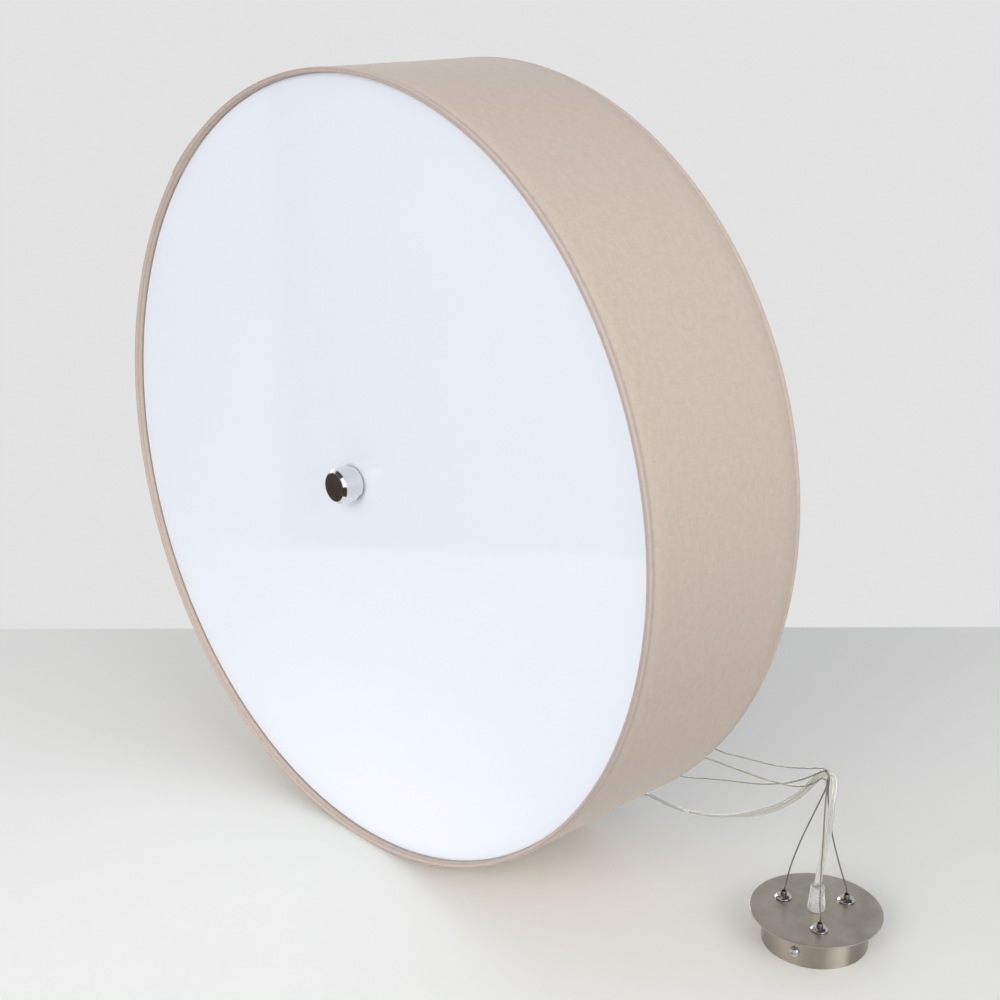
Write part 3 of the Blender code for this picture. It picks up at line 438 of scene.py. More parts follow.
def cloth_weave_group():
    """Plain weave with slubs, on a vector in metres along the cloth."""
    tree, start, end = new_group("cloth_weave", {"Pitch": 0.0005}, ("Warp", "Weft"), ("Color", "Height"))
    vector = start["Vector"]
    axes = node(tree, "SeparateXYZ", {0: vector}).outputs
    waves = []
    for axis in (0, 1):
        turns = math_node(tree, "DIVIDE", axes[axis], start["Pitch"])
        waves.append(math_node(tree, "SINE", math_node(tree, "MULTIPLY", turns, math.pi)))
    over = math_node(tree, "MULTIPLY_ADD", math_node(tree, "MULTIPLY", *waves), 0.5, 0.5)
    slub = math_node(tree, "ADD", stretched_noise(tree, vector, (110, 700, 1)),
                     stretched_noise(tree, vector, (700, 110, 1)))
    slub = spread(tree, slub, 0.72, 1.28)
    cloud = spread(tree, stretched_noise(tree, vector, (150, 210, 1), 3.0))
    share = math_node(tree, "MULTIPLY_ADD", slub, 0.50, math_node(tree, "MULTIPLY", cloud, 0.28))
    share = math_node(tree, "MULTIPLY_ADD", over, 0.22, share)
    lift = math_node(tree, "MULTIPLY_ADD", over, 0.6, math_node(tree, "MULTIPLY", slub, 0.4))
    feed(tree, end, {"Color": mixed_color(tree, share, start["Warp"], start["Weft"]), "Height": lift})
    return tree


def surface_variation_group():
    """Slow colour and roughness changes with a fine height, for paint, plastic and plated metal."""
    tree, start, end = new_group("surface_variation", {"Scale": 40.0, "Smooth": 0.2, "Rough": 0.3},
                                 ("First", "Second"), ("Color", "Roughness", "Height"))
    slow = node(tree, "TexNoise", {"Vector": start["Vector"], "Scale": start["Scale"], "Detail": 4.0})
    fine_scale = math_node(tree, "MULTIPLY", start["Scale"], 20.0)
    fine = node(tree, "TexNoise", {"Vector": start["Vector"], "Scale": fine_scale, "Detail": 2.0})
    return two_tones(tree, start, end, spread(tree, slow.outputs["Fac"]), fine.outputs["Fac"])


def brushed_lines_group():
    """Long fine lines, as brushing leaves on metal."""
    values = {"Lines": (40, 4000, 40), "Smooth": 0.25, "Rough": 0.4}
    tree, start, end = new_group("brushed_lines", values, ("First", "Second"),
                                 ("Color", "Roughness", "Height"))
    lines = stretched_noise(tree, start["Vector"], start["Lines"], 4.0)
    cloud = math_node(tree, "MULTIPLY", stretched_noise(tree, start["Vector"], (30, 30, 30)), 0.3)
    blend = math_node(tree, "MULTIPLY_ADD", spread(tree, lines, 0.3, 0.7), 0.7, cloud)
    return two_tones(tree, start, end, blend, lines)


def twisted_strands_group():
    """Strands laid up round a wire, on a UV map with metres along it and one turn round it."""
    tree, start, end = new_group("twisted_strands", {"Lay": 0.006, "Strands": 7.0}, ("Bright", "Dark"),
                                 ("Color", "Height"))
    axes = node(tree, "SeparateXYZ", {0: start["Vector"]}).outputs
    twist = math_node(tree, "ADD", math_node(tree, "DIVIDE", axes[0], start["Lay"]), axes[1])
    phase = math_node(tree, "MULTIPLY", math_node(tree, "MULTIPLY", twist, start["Strands"]), math.pi)
    crest = math_node(tree, "ABSOLUTE", math_node(tree, "SINE", phase))
    feed(tree, end, {"Color": mixed_color(tree, crest, start["Dark"], start["Bright"]), "Height": crest})
    return tree


GROUPS = {}


def group(name):
    """Each shared node group, built once."""
    makers = {"weave": cloth_weave_group, "variation": surface_variation_group,
              "brushed": brushed_lines_group, "strands": twisted_strands_group}
    if name not in GROUPS:
        GROUPS[name] = makers[name]()
    return GROUPS[name]


# ---------------------------------------------------------------- materials

def tint(base, share):
    """The same colour, lighter or darker, as a socket's four numbers."""
    return (*(min(1.0, part * share) for part in base), 1.0)


def patterned(name, kind, vector, values, bump, shader_values):
    """A material whose colour, roughness and normal come from a shared group."""
    made = bpy.data.materials.new(name)
    made.use_nodes = True
    tree = made.node_tree
    shader = tree.nodes["Principled BSDF"]
    places = node(tree, "TexCoord").outputs[vector]
    pattern = node(tree, "Group", {"Vector": places, **values}, node_tree=group(kind)).outputs
    feed(tree, shader, {"Base Color": pattern["Color"]})
    if "Roughness" in pattern:
        feed(tree, shader, {"Roughness": pattern["Roughness"]})
    strength, distance = bump
    if strength:
        relief = node(tree, "Bump", {"Strength": strength, "Distance": distance, "Height": pattern["Height"]})
        feed(tree, shader, {"Normal": relief.outputs[0]})
    feed(tree, shader, shader_values)
    return made


def varied(name, base, scale, smooth, rough, change, bump=(0.0, 0.0), **shader_values):
    """A paint, plastic or metal that changes slowly in colour and roughness."""
    values = {"Scale": scale, "First": tint(base, 1 + change), "Second": tint(base, 1 - change),
              "Smooth": smooth, "Rough": rough}
    settings = {key.replace("_", " "): value for key, value in shader_values.items()}
    return patterned(name, "variation", "Object", values, bump, settings)


# Shares of the cloth's colour by distance in from the rim, below 0 inside the roll: painted shade on the
# rolled rim and in the groove behind it, with lighter bands between
RIM_SHADE_TONES = (
    (-0.0100, 0.84, 0.79, 0.80), (-0.0086, 0.90, 0.85, 0.88), (-0.0078, 1.00, 1.00, 1.03),
    (-0.0066, 1.00, 1.00, 1.03), (-0.0058, 0.86, 0.82, 0.84), (-0.0048, 0.86, 0.82, 0.84),
    (-0.0038, 0.90, 0.87, 0.88), (-0.0021, 0.88, 0.85, 0.87), (-0.0014, 0.70, 0.67, 0.73),
    (0.0002, 0.72, 0.70, 0.76), (0.0010, 0.96, 0.97, 1.02), (0.0030, 0.98, 0.99, 1.03),
    (0.0038, 0.94, 0.94, 0.95), (0.0050, 0.94, 0.94, 0.95), (0.0064, 1.0, 1.0, 1.0), (0.0100, 1.0, 1.0, 1.0),
)
# Shares of the nickel's colour round the cup, in degrees from +X: painted highlights and painted shade, in
# soft streaks down its side
CUP_HIGHLIGHT_TONES = (
    (-180, 0.67, 0.67, 0.67), (-150, 0.74, 0.74, 0.74), (-125, 0.60, 0.60, 0.60), (-108, 0.61, 0.61, 0.61),
    (-96, 0.76, 0.76, 0.77), (-86, 0.85, 0.86, 0.87), (-74, 0.82, 0.82, 0.83), (-66, 0.64, 0.64, 0.64),
    (-58, 0.58, 0.58, 0.58), (-45, 0.60, 0.60, 0.60), (-36, 0.80, 0.81, 0.82), (-28, 1.00, 1.00, 1.00),
    (-21, 0.98, 0.98, 0.98), (-13, 0.55, 0.55, 0.56), (0, 0.44, 0.44, 0.45), (25, 0.62, 0.62, 0.62),
    (60, 0.80, 0.80, 0.80), (90, 0.64, 0.64, 0.64), (135, 0.78, 0.78, 0.78), (180, 0.67, 0.67, 0.67),
)
PLATE_TONE = (1.12, 1.11, 1.07)     # shares of the nickel's colour on the plate


def toned(tree, measure, tones):
    """Multiplies a material's colour by the tone that a table gives for a measure."""
    shader = tree.nodes["Principled BSDF"]
    plain = shader.inputs["Base Color"].links[0].from_socket
    first, last = tones[0][0], tones[-1][0]
    ramp = node(tree, "ValToRGB", {0: spread(tree, measure, first, last)})
    stops = ramp.color_ramp.elements
    for measured, *_ in tones[1:-1]:
        stops.new((measured - first) / (last - first))
    for stop, (_, *tone) in zip(stops, tones):
        stop.color = (*tone, 1)
    blended = mixed_color(tree, 1.0, plain, ramp.outputs[0], blend_type="MULTIPLY")
    feed(tree, shader, {"Base Color": blended})


def painted_rim_shade(tree):
    """Paints shade on the cloth of the rolled rim and in the groove behind it, by the UV map's V."""
    axes = node(tree, "SeparateXYZ", {0: node(tree, "TexCoord").outputs["UV"]}).outputs
    toned(tree, axes[1], RIM_SHADE_TONES)


def painted_side_highlights(tree, centre):
    """Paints highlights and shade as soft lighter and darker streaks down a round side, by the angle round
    its centre.
    """
    places = node(tree, "TexCoord").outputs["Object"]
    offset = node(tree, "VectorMath", {0: places, 1: centre}, operation="SUBTRACT").outputs[0]
    sweep = node(tree, "TexGradient", {0: offset}, gradient_type="RADIAL").outputs[1]
    toned(tree, math_node(tree, "MULTIPLY", math_node(tree, "SUBTRACT", sweep, 0.5), 360.0), CUP_HIGHLIGHT_TONES)


LOOKS = {}


def build_looks(scene):
    """All the materials, from the colours in the settings."""
    shade, disc, lamp = scene.pendant_shade, scene.pendant_diffuser, scene.pendant_lamps
    canopy, cords = scene.pendant_canopy, scene.pendant_cords
    LOOKS["fabric"] = patterned("taupe_fabric", "weave", "UV", {
        "Pitch": shade.pitch, "Warp": tint(shade.warp, 1), "Weft": tint(shade.weft, 1)},
        (0.35, 0.00012), {"Roughness": 0.88, "Sheen Weight": 0.20, "Sheen Roughness": 0.45})
    # Painted shade on the rolled rims and in their grooves
    painted_rim_shade(LOOKS["fabric"].node_tree)
    LOOKS["nickel"] = patterned("brushed_nickel", "brushed", "Object", {
        "Lines": (60, 60, 5200), "First": tint(canopy.nickel, 1.50), "Second": tint(canopy.nickel, 1.28),
        "Smooth": 0.26, "Rough": 0.32}, (0.06, 0.00003),
        {"Metallic": 1.0, "Anisotropic": 0.85, "Anisotropic Rotation": 0.25})
    tree = LOOKS["nickel"].node_tree
    around = node(tree, "Tangent", direction_type="RADIAL", axis="Z").outputs[0]
    feed(tree, tree.nodes["Principled BSDF"], {"Tangent": around})
    # Painted highlights and shade streak the cup's side
    painted_side_highlights(tree, CANOPY.translation)
    # Material, colour, scale of the variation, lowest and highest roughness, change of colour, bump
    painted = {
        "backing": ("white_backing", shade.backing, 60, 0.42, 0.58, 0.03, (0.12, 0.0002)),
        "enamel": ("white_powder_coat", lamp.enamel, 70, 0.30, 0.42, 0.03, (0.25, 0.00008)),
        "holder": ("moulded_holder", lamp.holder, 80, 0.34, 0.48, 0.05, (0.12, 0.00004)),
        "insulator": ("black_insulator", (0.02, 0.02, 0.025), 90, 0.12, 0.25, 0.2),
        "nylon": ("white_nylon", (0.76, 0.76, 0.74), 120, 0.40, 0.52, 0.03),
    }
    plate = [part * share for part, share in zip(canopy.nickel, PLATE_TONE)]
    metals = {
        "plate": ("satin_nickel_plate", plate, 60, 0.27, 0.36, 0.09),
        "chrome": ("polished_chrome", canopy.chrome, 90, 0.035, 0.075, 0.02),
        # The nozzle's dark colour is a painted dark reflection on its chrome
        "nozzle": ("dark_nickel_nozzle", (0.21, 0.18, 0.15), 300, 0.10, 0.22, 0.12),
        "plated": ("bright_plating", tint(canopy.chrome, 0.78)[:3], 200, 0.05, 0.10, 0.04),
        "zinc": ("zinc_plate", canopy.zinc, 150, 0.26, 0.42, 0.10, (0.10, 0.00003)),
        "cap": ("bulb_cap_nickel", (0.62, 0.61, 0.57), 160, 0.22, 0.38, 0.08, (0.08, 0.00003)),
    }
    for looks, metallic in ((painted, 0.0), (metals, 1.0)):
        for name, values in looks.items():
            LOOKS[name] = varied(*values, Metallic=metallic)
    LOOKS["opal"] = varied("opal_acrylic", disc.opal, 12, 0.035, 0.055, 0.004, IOR=1.49)
    LOOKS["glass"] = varied("opal_glass", lamp.glass, 30, 0.08, 0.16, 0.01, IOR=1.5)
    # Plastics that let a share of the light through, with their bump, refraction and share last
    for name, title, base, smooth, rough, bump, ior, share in (
            ("grip", "frosted_clear_plastic", (0.95, 0.95, 0.94), 0.14, 0.24, (0.15, 0.00006), 1.4, 0.66),
            ("clip", "white_clip", (0.93, 0.93, 0.92), 0.22, 0.34, (0.0, 0.0), 1.4, 0.25),
            ("jacket", "clear_jacket", cords.jacket, 0.06, 0.12, (0.1, 0.00004), 1.65, 0.66)):
        LOOKS[name] = varied(title, base, 120, smooth, rough, 0.02, bump, Transmission_Weight=share, IOR=ior)
    # Stranded metals, with the lay and number of their strands, their colours, bump and roughness
    for name, title, lay, strands, bright, dark, bump, rough in (
            ("wire", "stainless_rope", 0.0075, 7.0, tint(cords.wire, 1.15), tint(cords.wire, 0.55),
             (0.7, 0.00012), 0.38),
            ("copper", "copper_strands", 0.012, 12.0, (0.96, 0.86, 0.74, 1), (0.74, 0.63, 0.50, 1),
             (0.5, 0.0001), 0.32),
            ("tinned", "tinned_strands", 0.012, 12.0, (0.92, 0.92, 0.90, 1), (0.60, 0.60, 0.58, 1),
             (0.5, 0.0001), 0.30)):
        LOOKS[name] = patterned(title, "strands", "UV", {
            "Lay": lay, "Strands": strands, "Bright": bright, "Dark": dark}, bump,
            {"Metallic": 1.0, "Roughness": rough})


# ---------------------------------------------------------------- stage

SENSOR = 36                         # camera's sensor in millimetres
PIXELS = 1000
FLOOR_LINE = ((0, 629), (1000, 627))    # where the floor's far edge meets the view's left and right sides
# Direction across the floor's left edge, and how far out that edge is
FLOOR_SIDE, FLOOR_EDGE = Vector((0.652, 0.758, 0)), 0.7225
FLOOR_WIDTH, FLOOR_DEPTH = 4.5, 0.66
# Name, place, target, size, energy and colour
LAMPS = (
    ("front", (0.9, -2.4, 1.08), (0, 0, 0.2), (1.9, 1.8), 48, (1, 1, 1)),
    ("fill", (2.6, -0.3, 1.15), (0, 0, 0.2), (1.8, 2.0), 24, (1.0, 0.98, 0.95)),
    ("left", (-2.6, -0.4, 1.6), (0, 0, 0.25), (1.6, 1.6), 3, (1, 1, 1)),
)
# Colours of the room and directions of its parts
SEEN = (0.77, 0.765, 0.77, 1)
WALL_LOW, WALL_HIGH = (0.30, 0.31, 0.335, 1), (0.52, 0.535, 0.565, 1)
CEILING, ZENITH = (0.60, 0.62, 0.66, 1), (0.07, 0.07, 0.08, 1)
WINDOW, WINDOW_WAY, WINDOW_SIDE = (1.3, 1.3, 1.32, 1), (0.438, -0.899, 0.0), (0.899, 0.438, 0.0)
SOFT_BOX, SOFT_BOX_WAY = (9.0, 9.0, 8.8, 1), (-0.90, 0.20, 0.39)
DARK_FLOOR, DARK_FLOOR_WAY = (0.062, 0.048, 0.038, 1), (0.574, -0.819, 0.0)


def floor_corner(camera, turn, lens, column, row):
    """Where a pixel of the square view meets the floor, for the floor's far edge."""
    middle = PIXELS / 2
    sight = Vector(((column - middle) / PIXELS * SENSOR, (middle - row) / PIXELS * SENSOR, -lens))
    ray = turn.to_matrix() @ sight
    return camera - ray * (camera.z / ray.z)


def background(scene):
    """Pale grey for what the camera sees, a soft room for what lights, and that room's parts in mirrors."""
    world = bpy.data.worlds.new("soft_room")
    scene.world = world
    world.use_nodes = True
    tree = world.node_tree
    shown = feed(tree, tree.nodes["Background"], {"Color": SEEN, "Strength": 1.0})
    places = node(tree, "TexCoord").outputs["Generated"]
    height = node(tree, "SeparateXYZ", {0: places}).outputs[2]

    def toward(way):
        return node(tree, "VectorMath", {0: places, 1: way}, operation="DOT_PRODUCT").outputs["Value"]

    walls = mixed_color(tree, spread(tree, height, -0.2, 0.2), WALL_LOW, WALL_HIGH)
    mirrored = mixed_color(tree, spread(tree, height, 0.62, 0.69), CEILING, ZENITH)
    beside = math_node(tree, "ABSOLUTE", toward(WINDOW_SIDE))
    window = math_node(tree, "MULTIPLY", spread(tree, beside, 0.19, 0.23, 1.0, 0.0),
                       math_node(tree, "GREATER_THAN", toward(WINDOW_WAY)))
    window = math_node(tree, "MULTIPLY", window, spread(tree, height, 0.62, 0.67, 1.0, 0.0))
    mirrored = mixed_color(tree, window, mirrored, WINDOW)
    # Soft box behind and to the left, which only rounded sides mirror
    mirrored = mixed_color(tree, spread(tree, toward(SOFT_BOX_WAY), 0.95, 0.975), mirrored, SOFT_BOX)
    unlit = math_node(tree, "MULTIPLY", math_node(tree, "LESS_THAN", height),
                      math_node(tree, "GREATER_THAN", toward(DARK_FLOOR_WAY)))
    mirrored = mixed_color(tree, unlit, mirrored, DARK_FLOOR)
    room, mirror = (node(tree, "Background", {"Color": part}).outputs[0] for part in (walls, mirrored))
    path = node(tree, "LightPath").outputs
    around = node(tree, "MixShader", {0: path["Is Glossy Ray"], 1: room, 2: mirror}).outputs[0]
    seen = math_node(tree, "MAXIMUM", path["Is Camera Ray"], path["Is Transmission Ray"])
    final = node(tree, "MixShader", {0: seen, 1: around, 2: shown.outputs[0]}).outputs[0]
    feed(tree, tree.nodes["World Output"], {"Surface": final})


def area_light(name, place, target, size, energy, tone):
    bpy.ops.object.light_add(type="AREA", location=place)
    lamp = bpy.context.object
    lamp.name = name
    lamp.data.shape = "RECTANGLE"
    lamp.data.size, lamp.data.size_y = size
    lamp.data.energy = energy
    lamp.data.color = tone
    lamp.rotation_euler = (Vector(target) - Vector(place)).to_track_quat("-Z", "Y").to_euler()
    lamp.visible_glossy = name != "front"


class PENDANT_OT_stage(Operator):
    """Camera, soft light and a pale floor"""
    bl_idname = "pendant.stage"
    bl_label = "Stage"

    def execute(self, context):
        scene = context.scene
        settings = scene.pendant_stage
        build_looks(scene)
        scene.view_settings.view_transform = "Standard"
        deselect()
        bpy.ops.object.camera_add(location=settings.camera, rotation=settings.turn)
        camera = context.object
        camera.name = "view"
        camera.data.lens = settings.lens
        camera.data.sensor_width = SENSOR
        scene.camera = camera
        left, right = (floor_corner(camera.location, camera.rotation_euler, settings.lens, *pixel)
                       for pixel in FLOOR_LINE)
        bpy.ops.mesh.primitive_plane_add(size=1)
        ground = context.object
        ground.name = "floor"
        along = (right - left).normalized()
        far_left = left - along * ((FLOOR_SIDE.dot(left) + FLOOR_EDGE) / FLOOR_SIDE.dot(along))
        far_right = far_left + along * FLOOR_WIDTH
        near = Vector((along.y, -along.x, 0)) * FLOOR_DEPTH
        corners = (far_left + near, far_right + near, far_left, far_right)
        for vertex, corner in zip(ground.data.vertices, corners):
            vertex.co = (corner.x, corner.y, 0.0)
        ground.data.materials.append(varied("pale_floor", settings.floor, 3, 0.62, 0.74, 0.012,
                                            Specular_IOR_Level=0.0))
        background(scene)
        for values in LAMPS:
            area_light(*values)
        return {"FINISHED"}


# ---------------------------------------------------------------- cords

def distances(points):
    """How far along the line each of its points is."""
    marks = [0.0]
    for first, second in zip(points, points[1:]):
        marks.append(marks[-1] + (second - first).length)
    return marks


def evenly_spaced(points, count):
    """The same line with a given number of points, evenly spaced along it."""
    marks = distances(points)
    spaced = [points[0]]
    index = 0
    for step in range(1, count - 1):
        wanted = marks[-1] * step / (count - 1)
        while marks[index + 1] < wanted:
            index += 1
        share = (wanted - marks[index]) / (marks[index + 1] - marks[index])
        spaced.append(points[index].lerp(points[index + 1], share))
    spaced.append(points[-1])
    return spaced


def smooth_points(route, count):
    """Points spaced evenly along a smooth curve through a route's own points."""
    dense = []
    padded = [route[0] * 2 - route[1]] + list(route) + [route[-1] * 2 - route[-2]]
    for index in range(1, len(padded) - 2):
        before, start, end, after = padded[index - 1:index + 3]
        for step in range(ROUTE_STEPS):
            t = step / ROUTE_STEPS
            curve = 2 * start + (end - before) * t + (2 * before - 5 * start + 4 * end - after) * t * t
            dense.append((curve + (3 * start - before - 3 * end + after) * t * t * t) / 2)
    dense.append(route[-1])
    fine = evenly_spaced(dense, FINE_POINTS)
    for _ in range(EASING_PASSES):
        softer = [(a + 2 * b + c) / 4 for a, b, c in zip(fine, fine[1:], fine[2:])]
        fine = [fine[0]] + softer + [fine[-1]]
    return evenly_spaced(fine, count)


def line_of(route, count):
    return smooth_points([Vector(point) * ROUTE_UNIT + DRUM_FRONT for point in route], count)


def directions(points):
    """The line's direction at each point."""
    steps = [(b - a).normalized() for a, b in zip(points, points[1:])]
    middle = [(a + b).normalized() for a, b in zip(steps, steps[1:])]
    return [steps[0]] + middle + [steps[-1]]


def carried(points, facing):
    """Across directions that turn as little as they can along the line."""
    aims = []
    across = None
    for along in directions(points):
        across = along.cross(facing) if across is None else across - along * along.dot(across)
        across = across.normalized()
        aims.append(across)
    return aims


def swept(name, points, aims, section):
    """A closed tube with a section of (across, through) points, and a UV map in metres along it."""
    mesh = bpy.data.meshes.new(name)
    piece = bpy.data.objects.new(name, mesh)
    bpy.context.collection.objects.link(piece)
    bm = bmesh.new()
    layer = bm.loops.layers.uv.new("UVMap")
    rings = []
    marks = distances(points)
    for point, along, across in zip(points, directions(points), aims):
        through = along.cross(across).normalized()
        rings.append([bm.verts.new(point + across * a + through * b) for a, b in section])
    count = len(section)
    for step, (low, high) in enumerate(zip(rings, rings[1:])):
        for side in range(count):
            after = (side + 1) % count
            face = bm.faces.new((low[side], low[after], high[after], high[side]))
            face.smooth = True
            corners = ((step, side), (step, side + 1), (step + 1, side + 1), (step + 1, side))
            for loop, (mark, turn) in zip(face.loops, corners):
                loop[layer].uv = (marks[mark], turn / count)
    bm.faces.new(list(reversed(rings[0])))
    bm.faces.new(rings[-1])
    bmesh.ops.recalc_face_normals(bm, faces=bm.faces)
    bm.to_mesh(mesh)
    bm.free()
    return piece


def oval(across, through, count, offset=0.0):
    turns = [math.tau * step / count for step in range(count)]
    return [(offset + across * math.cos(t), through * math.sin(t)) for t in turns]


def twin_section(half_width, steps):
    """Two round cores side by side, joined by a thin web."""
    core = half_width / 2
    open_turn = math.radians(28)
    turns = [open_turn + (math.tau - 2 * open_turn) * step / steps for step in range(steps + 1)]
    right = [(core - core * math.cos(t), core * math.sin(t)) for t in turns]
    left = [(-x, -y) for x, y in right]
    return right + left


CORD_FACING = Vector((0.70, -0.65, 0.30)).normalized()
# Shares of the flex's half width, and half the clip's length
CORE_SHARE, CLIP_ACROSS, CLIP_THROUGH = 0.17, 1.15, 0.80
CLIP_HALF = 0.0031


class PENDANT_OT_cords(Operator):
    """Three steel wires, and the clear flat flex with its two conductors and its clip"""
    bl_idname = "pendant.cords"
    bl_label = "Wires and flex"

    def execute(self, context):
        settings = context.scene.pendant_cords
        for index, route in enumerate(WIRE_ROUTES, 1):
            points = line_of(route, WIRE_POINTS)
            wire = swept(f"steel_wire_{index}", points, carried(points, CORD_FACING),
                         oval(settings.wire_radius, settings.wire_radius, 12))
            finish_piece(wire, "wire", [f"wire_{index}"])
        points = line_of(FLEX_ROUTE, FLEX_POINTS)
        half = settings.flex_half_width
        # Seen edge on as it leaves the drum, then turned flat toward the front before its loop
        aims = []
        for index, along in enumerate(directions(points)):
            share = eased((index / (FLEX_POINTS - 1) - TWIST_START) / (TWIST_END - TWIST_START))
            turn = Matrix.Rotation(TWIST * (1 - share), 4, along)
            aims.append(turn @ along.cross(CORD_FACING).normalized())
        jacket = swept("flex_jacket", points, aims, twin_section(half, 14))
        finish_piece(jacket, "jacket", ["flex_cord"])
        core_r = half * CORE_SHARE
        for name, side in (("copper", 1), ("tinned", -1)):
            core = swept(f"{name}_core", points, aims, oval(core_r, core_r, 10, side * half / 2))
            finish_piece(core, name)
        spot = round(CLIP_SHARE * (FLEX_POINTS - 1))
        along = directions(points)[spot]
        middle = [points[spot] + along * step for step in (-CLIP_HALF, 0.0, CLIP_HALF)]
        clip = swept("flex_clip", middle, [aims[spot]] * 3, oval(half * CLIP_ACROSS, half * CLIP_THROUGH, 28))
        finish_piece(bevelled(clip, 0.0004, 30), "clip", ["cord_clip"])
        return {"FINISHED"}


# ---------------------------------------------------------------- shade

GROOVE, GROOVE_HALF = 0.0046, 0.0008    # from each rim to the groove behind its roll
WALL_INSET = 0.00025
TUCK = 0.0044                           # cloth tucked in behind each ring
FOLD_REACH = 0.008
SEAM = math.radians(-127)
LAP_GAP = 0.00012
LAP_EASE = 1.4


def cloth_map(piece, radius, bead, seam):
    """UV map in metres: round the drum from the seam, and in from the nearer rim, below 0 inside the roll."""
    layer = piece.data.uv_layers.active or piece.data.uv_layers.new(name="UVMap")
    flat = DRUM.inverted()
    for face in piece.data.polygons:
        centre = flat @ face.center
        middle = (math.atan2(centre.y, centre.x) - seam) % math.tau
        near_rim = min(centre.z, SHADE_DEPTH - centre.z) < FOLD_REACH
        folded = near_rim and math.hypot(centre.x, centre.y) < radius - bead
        for index in face.loop_indices:
            point = flat @ piece.data.vertices[piece.data.loops[index].vertex_index].co
            turn = (math.atan2(point.y, point.x) - seam - middle + math.pi) % math.tau - math.pi + middle
            inset = radius - math.hypot(point.x, point.y)
            depth = min(point.z, SHADE_DEPTH - point.z)
            layer.data[index].uv = (turn * radius, -inset - depth if folded else depth - inset)


class PENDANT_OT_shade_cover(Operator):
    """Fabric tube rolled over a ring at each rim, with a lapped seam"""
    bl_idname = "pendant.shade_cover"
    bl_label = "Shade cover"

    def execute(self, context):
        settings = context.scene.pendant_shade
        radius, depth, bead, lap = settings.radius, settings.depth, settings.bead, settings.lap
        inner, centre, wall = bead - COVER_T, radius - bead, radius - WALL_INSET
        low, high = GROOVE + GROOVE_HALF, depth - GROOVE - GROOVE_HALF
        # Outer line from the back rim's inner end, over its bead, down the wall and round the front bead
        outline = arc(centre, depth - bead, bead, 180, 0, 12)
        outline += [(radius, high + 2 * GROOVE_HALF), (wall - WALL_INSET, depth - GROOVE)]
        outline += [(wall, high + (low - high) * step / 12) for step in range(13)]
        outline += [(wall - WALL_INSET, GROOVE), (radius, low - 2 * GROOVE_HALF)]
        outline += arc(centre, bead, bead, 0, -180, 12) + [(centre - bead, bead + TUCK)]
        # And back along the inside
        outline += [(centre - inner, bead + TUCK)] + arc(centre, bead, inner, -180, 0, 8)
        outline += [(wall - COVER_T, GROOVE + 0.001), (wall - COVER_T, depth - GROOVE - 0.001)]
        outline += arc(centre, depth - bead, inner, 0, 180, 8)
        cover = draw_profile("fabric_cover", outline + [outline[0]])
        bpy.ops.mesh.remove_doubles(threshold=MERGE_DISTANCE)
        bpy.ops.mesh.select_all(action="SELECT")
        steps = BIG_STEPS + 4
        bpy.ops.mesh.spin(steps=steps, angle=math.tau + lap, center=(0, 0, 0), axis=(0, 0, 1))
        bpy.ops.object.mode_set(mode="OBJECT")
        self.lift_lap(cover.data, len(outline), steps, lap, (centre, bead, depth - bead))
        bpy.ops.object.mode_set(mode="EDIT")
        bpy.ops.mesh.select_all(action="SELECT")
        bpy.ops.mesh.normals_make_consistent(inside=False)
        bpy.ops.object.mode_set(mode="OBJECT")
        bpy.ops.object.shade_smooth_by_angle(angle=math.radians(50))
        settle(cover, DRUM @ Matrix.Rotation(SEAM - lap, 4, "Z"))
        cloth_map(cover, radius, bead, SEAM - lap)
        finish_piece(cover, "fabric", ["shade_cover"])
        return {"FINISHED"}

    @staticmethod
    def lift_lap(mesh, ring_size, steps, lap, beads):
        """Lifts the fabric's last end off its start, and closes both ends."""
        centre, low, high = beads
        bm = bmesh.new()
        bm.from_mesh(mesh)
        bm.verts.ensure_lookup_table()
        rings = [list(bm.verts[start:start + ring_size]) for start in range(0, len(bm.verts), ring_size)]
        lap_steps = lap * steps / (math.tau + lap)
        for index, ring in enumerate(rings):
            rest = len(rings) - 1 - index
            share = eased(1 - (rest - lap_steps) / (lap_steps * LAP_EASE))
            if not share:
                continue
            for vertex in ring:
                spread_r = math.hypot(vertex.co.x, vertex.co.y)
                if low <= vertex.co.z <= high:
                    away = Vector((1.0 if spread_r > centre else -1.0, 0.0))
                else:
                    away = Vector((spread_r - centre, vertex.co.z - (low if vertex.co.z < low else high)))
                away = away.normalized() * (COVER_T + LAP_GAP) * share
                scale = (spread_r + away.x) / spread_r
                vertex.co = (vertex.co.x * scale, vertex.co.y * scale, vertex.co.z + away.y)
        for ring in (rings[0], rings[-1]):
            bm.faces.new(ring)
        bm.to_mesh(mesh)
        bm.free()


class PENDANT_OT_shade_lining(Operator):
    """White backing inside the drum"""
    bl_idname = "pendant.shade_lining"
    bl_label = "Shade lining"

    def execute(self, context):
        outer = SHADE_R - WALL_INSET - COVER_T - GAP
        corners = tube(outer, outer - LINING_T, 0.0065, ARM_DEPTH - ARM_R - GAP)
        lathed("white_lining", corners, BIG_STEPS, "backing", ["shade_lining"])
        return {"FINISHED"}


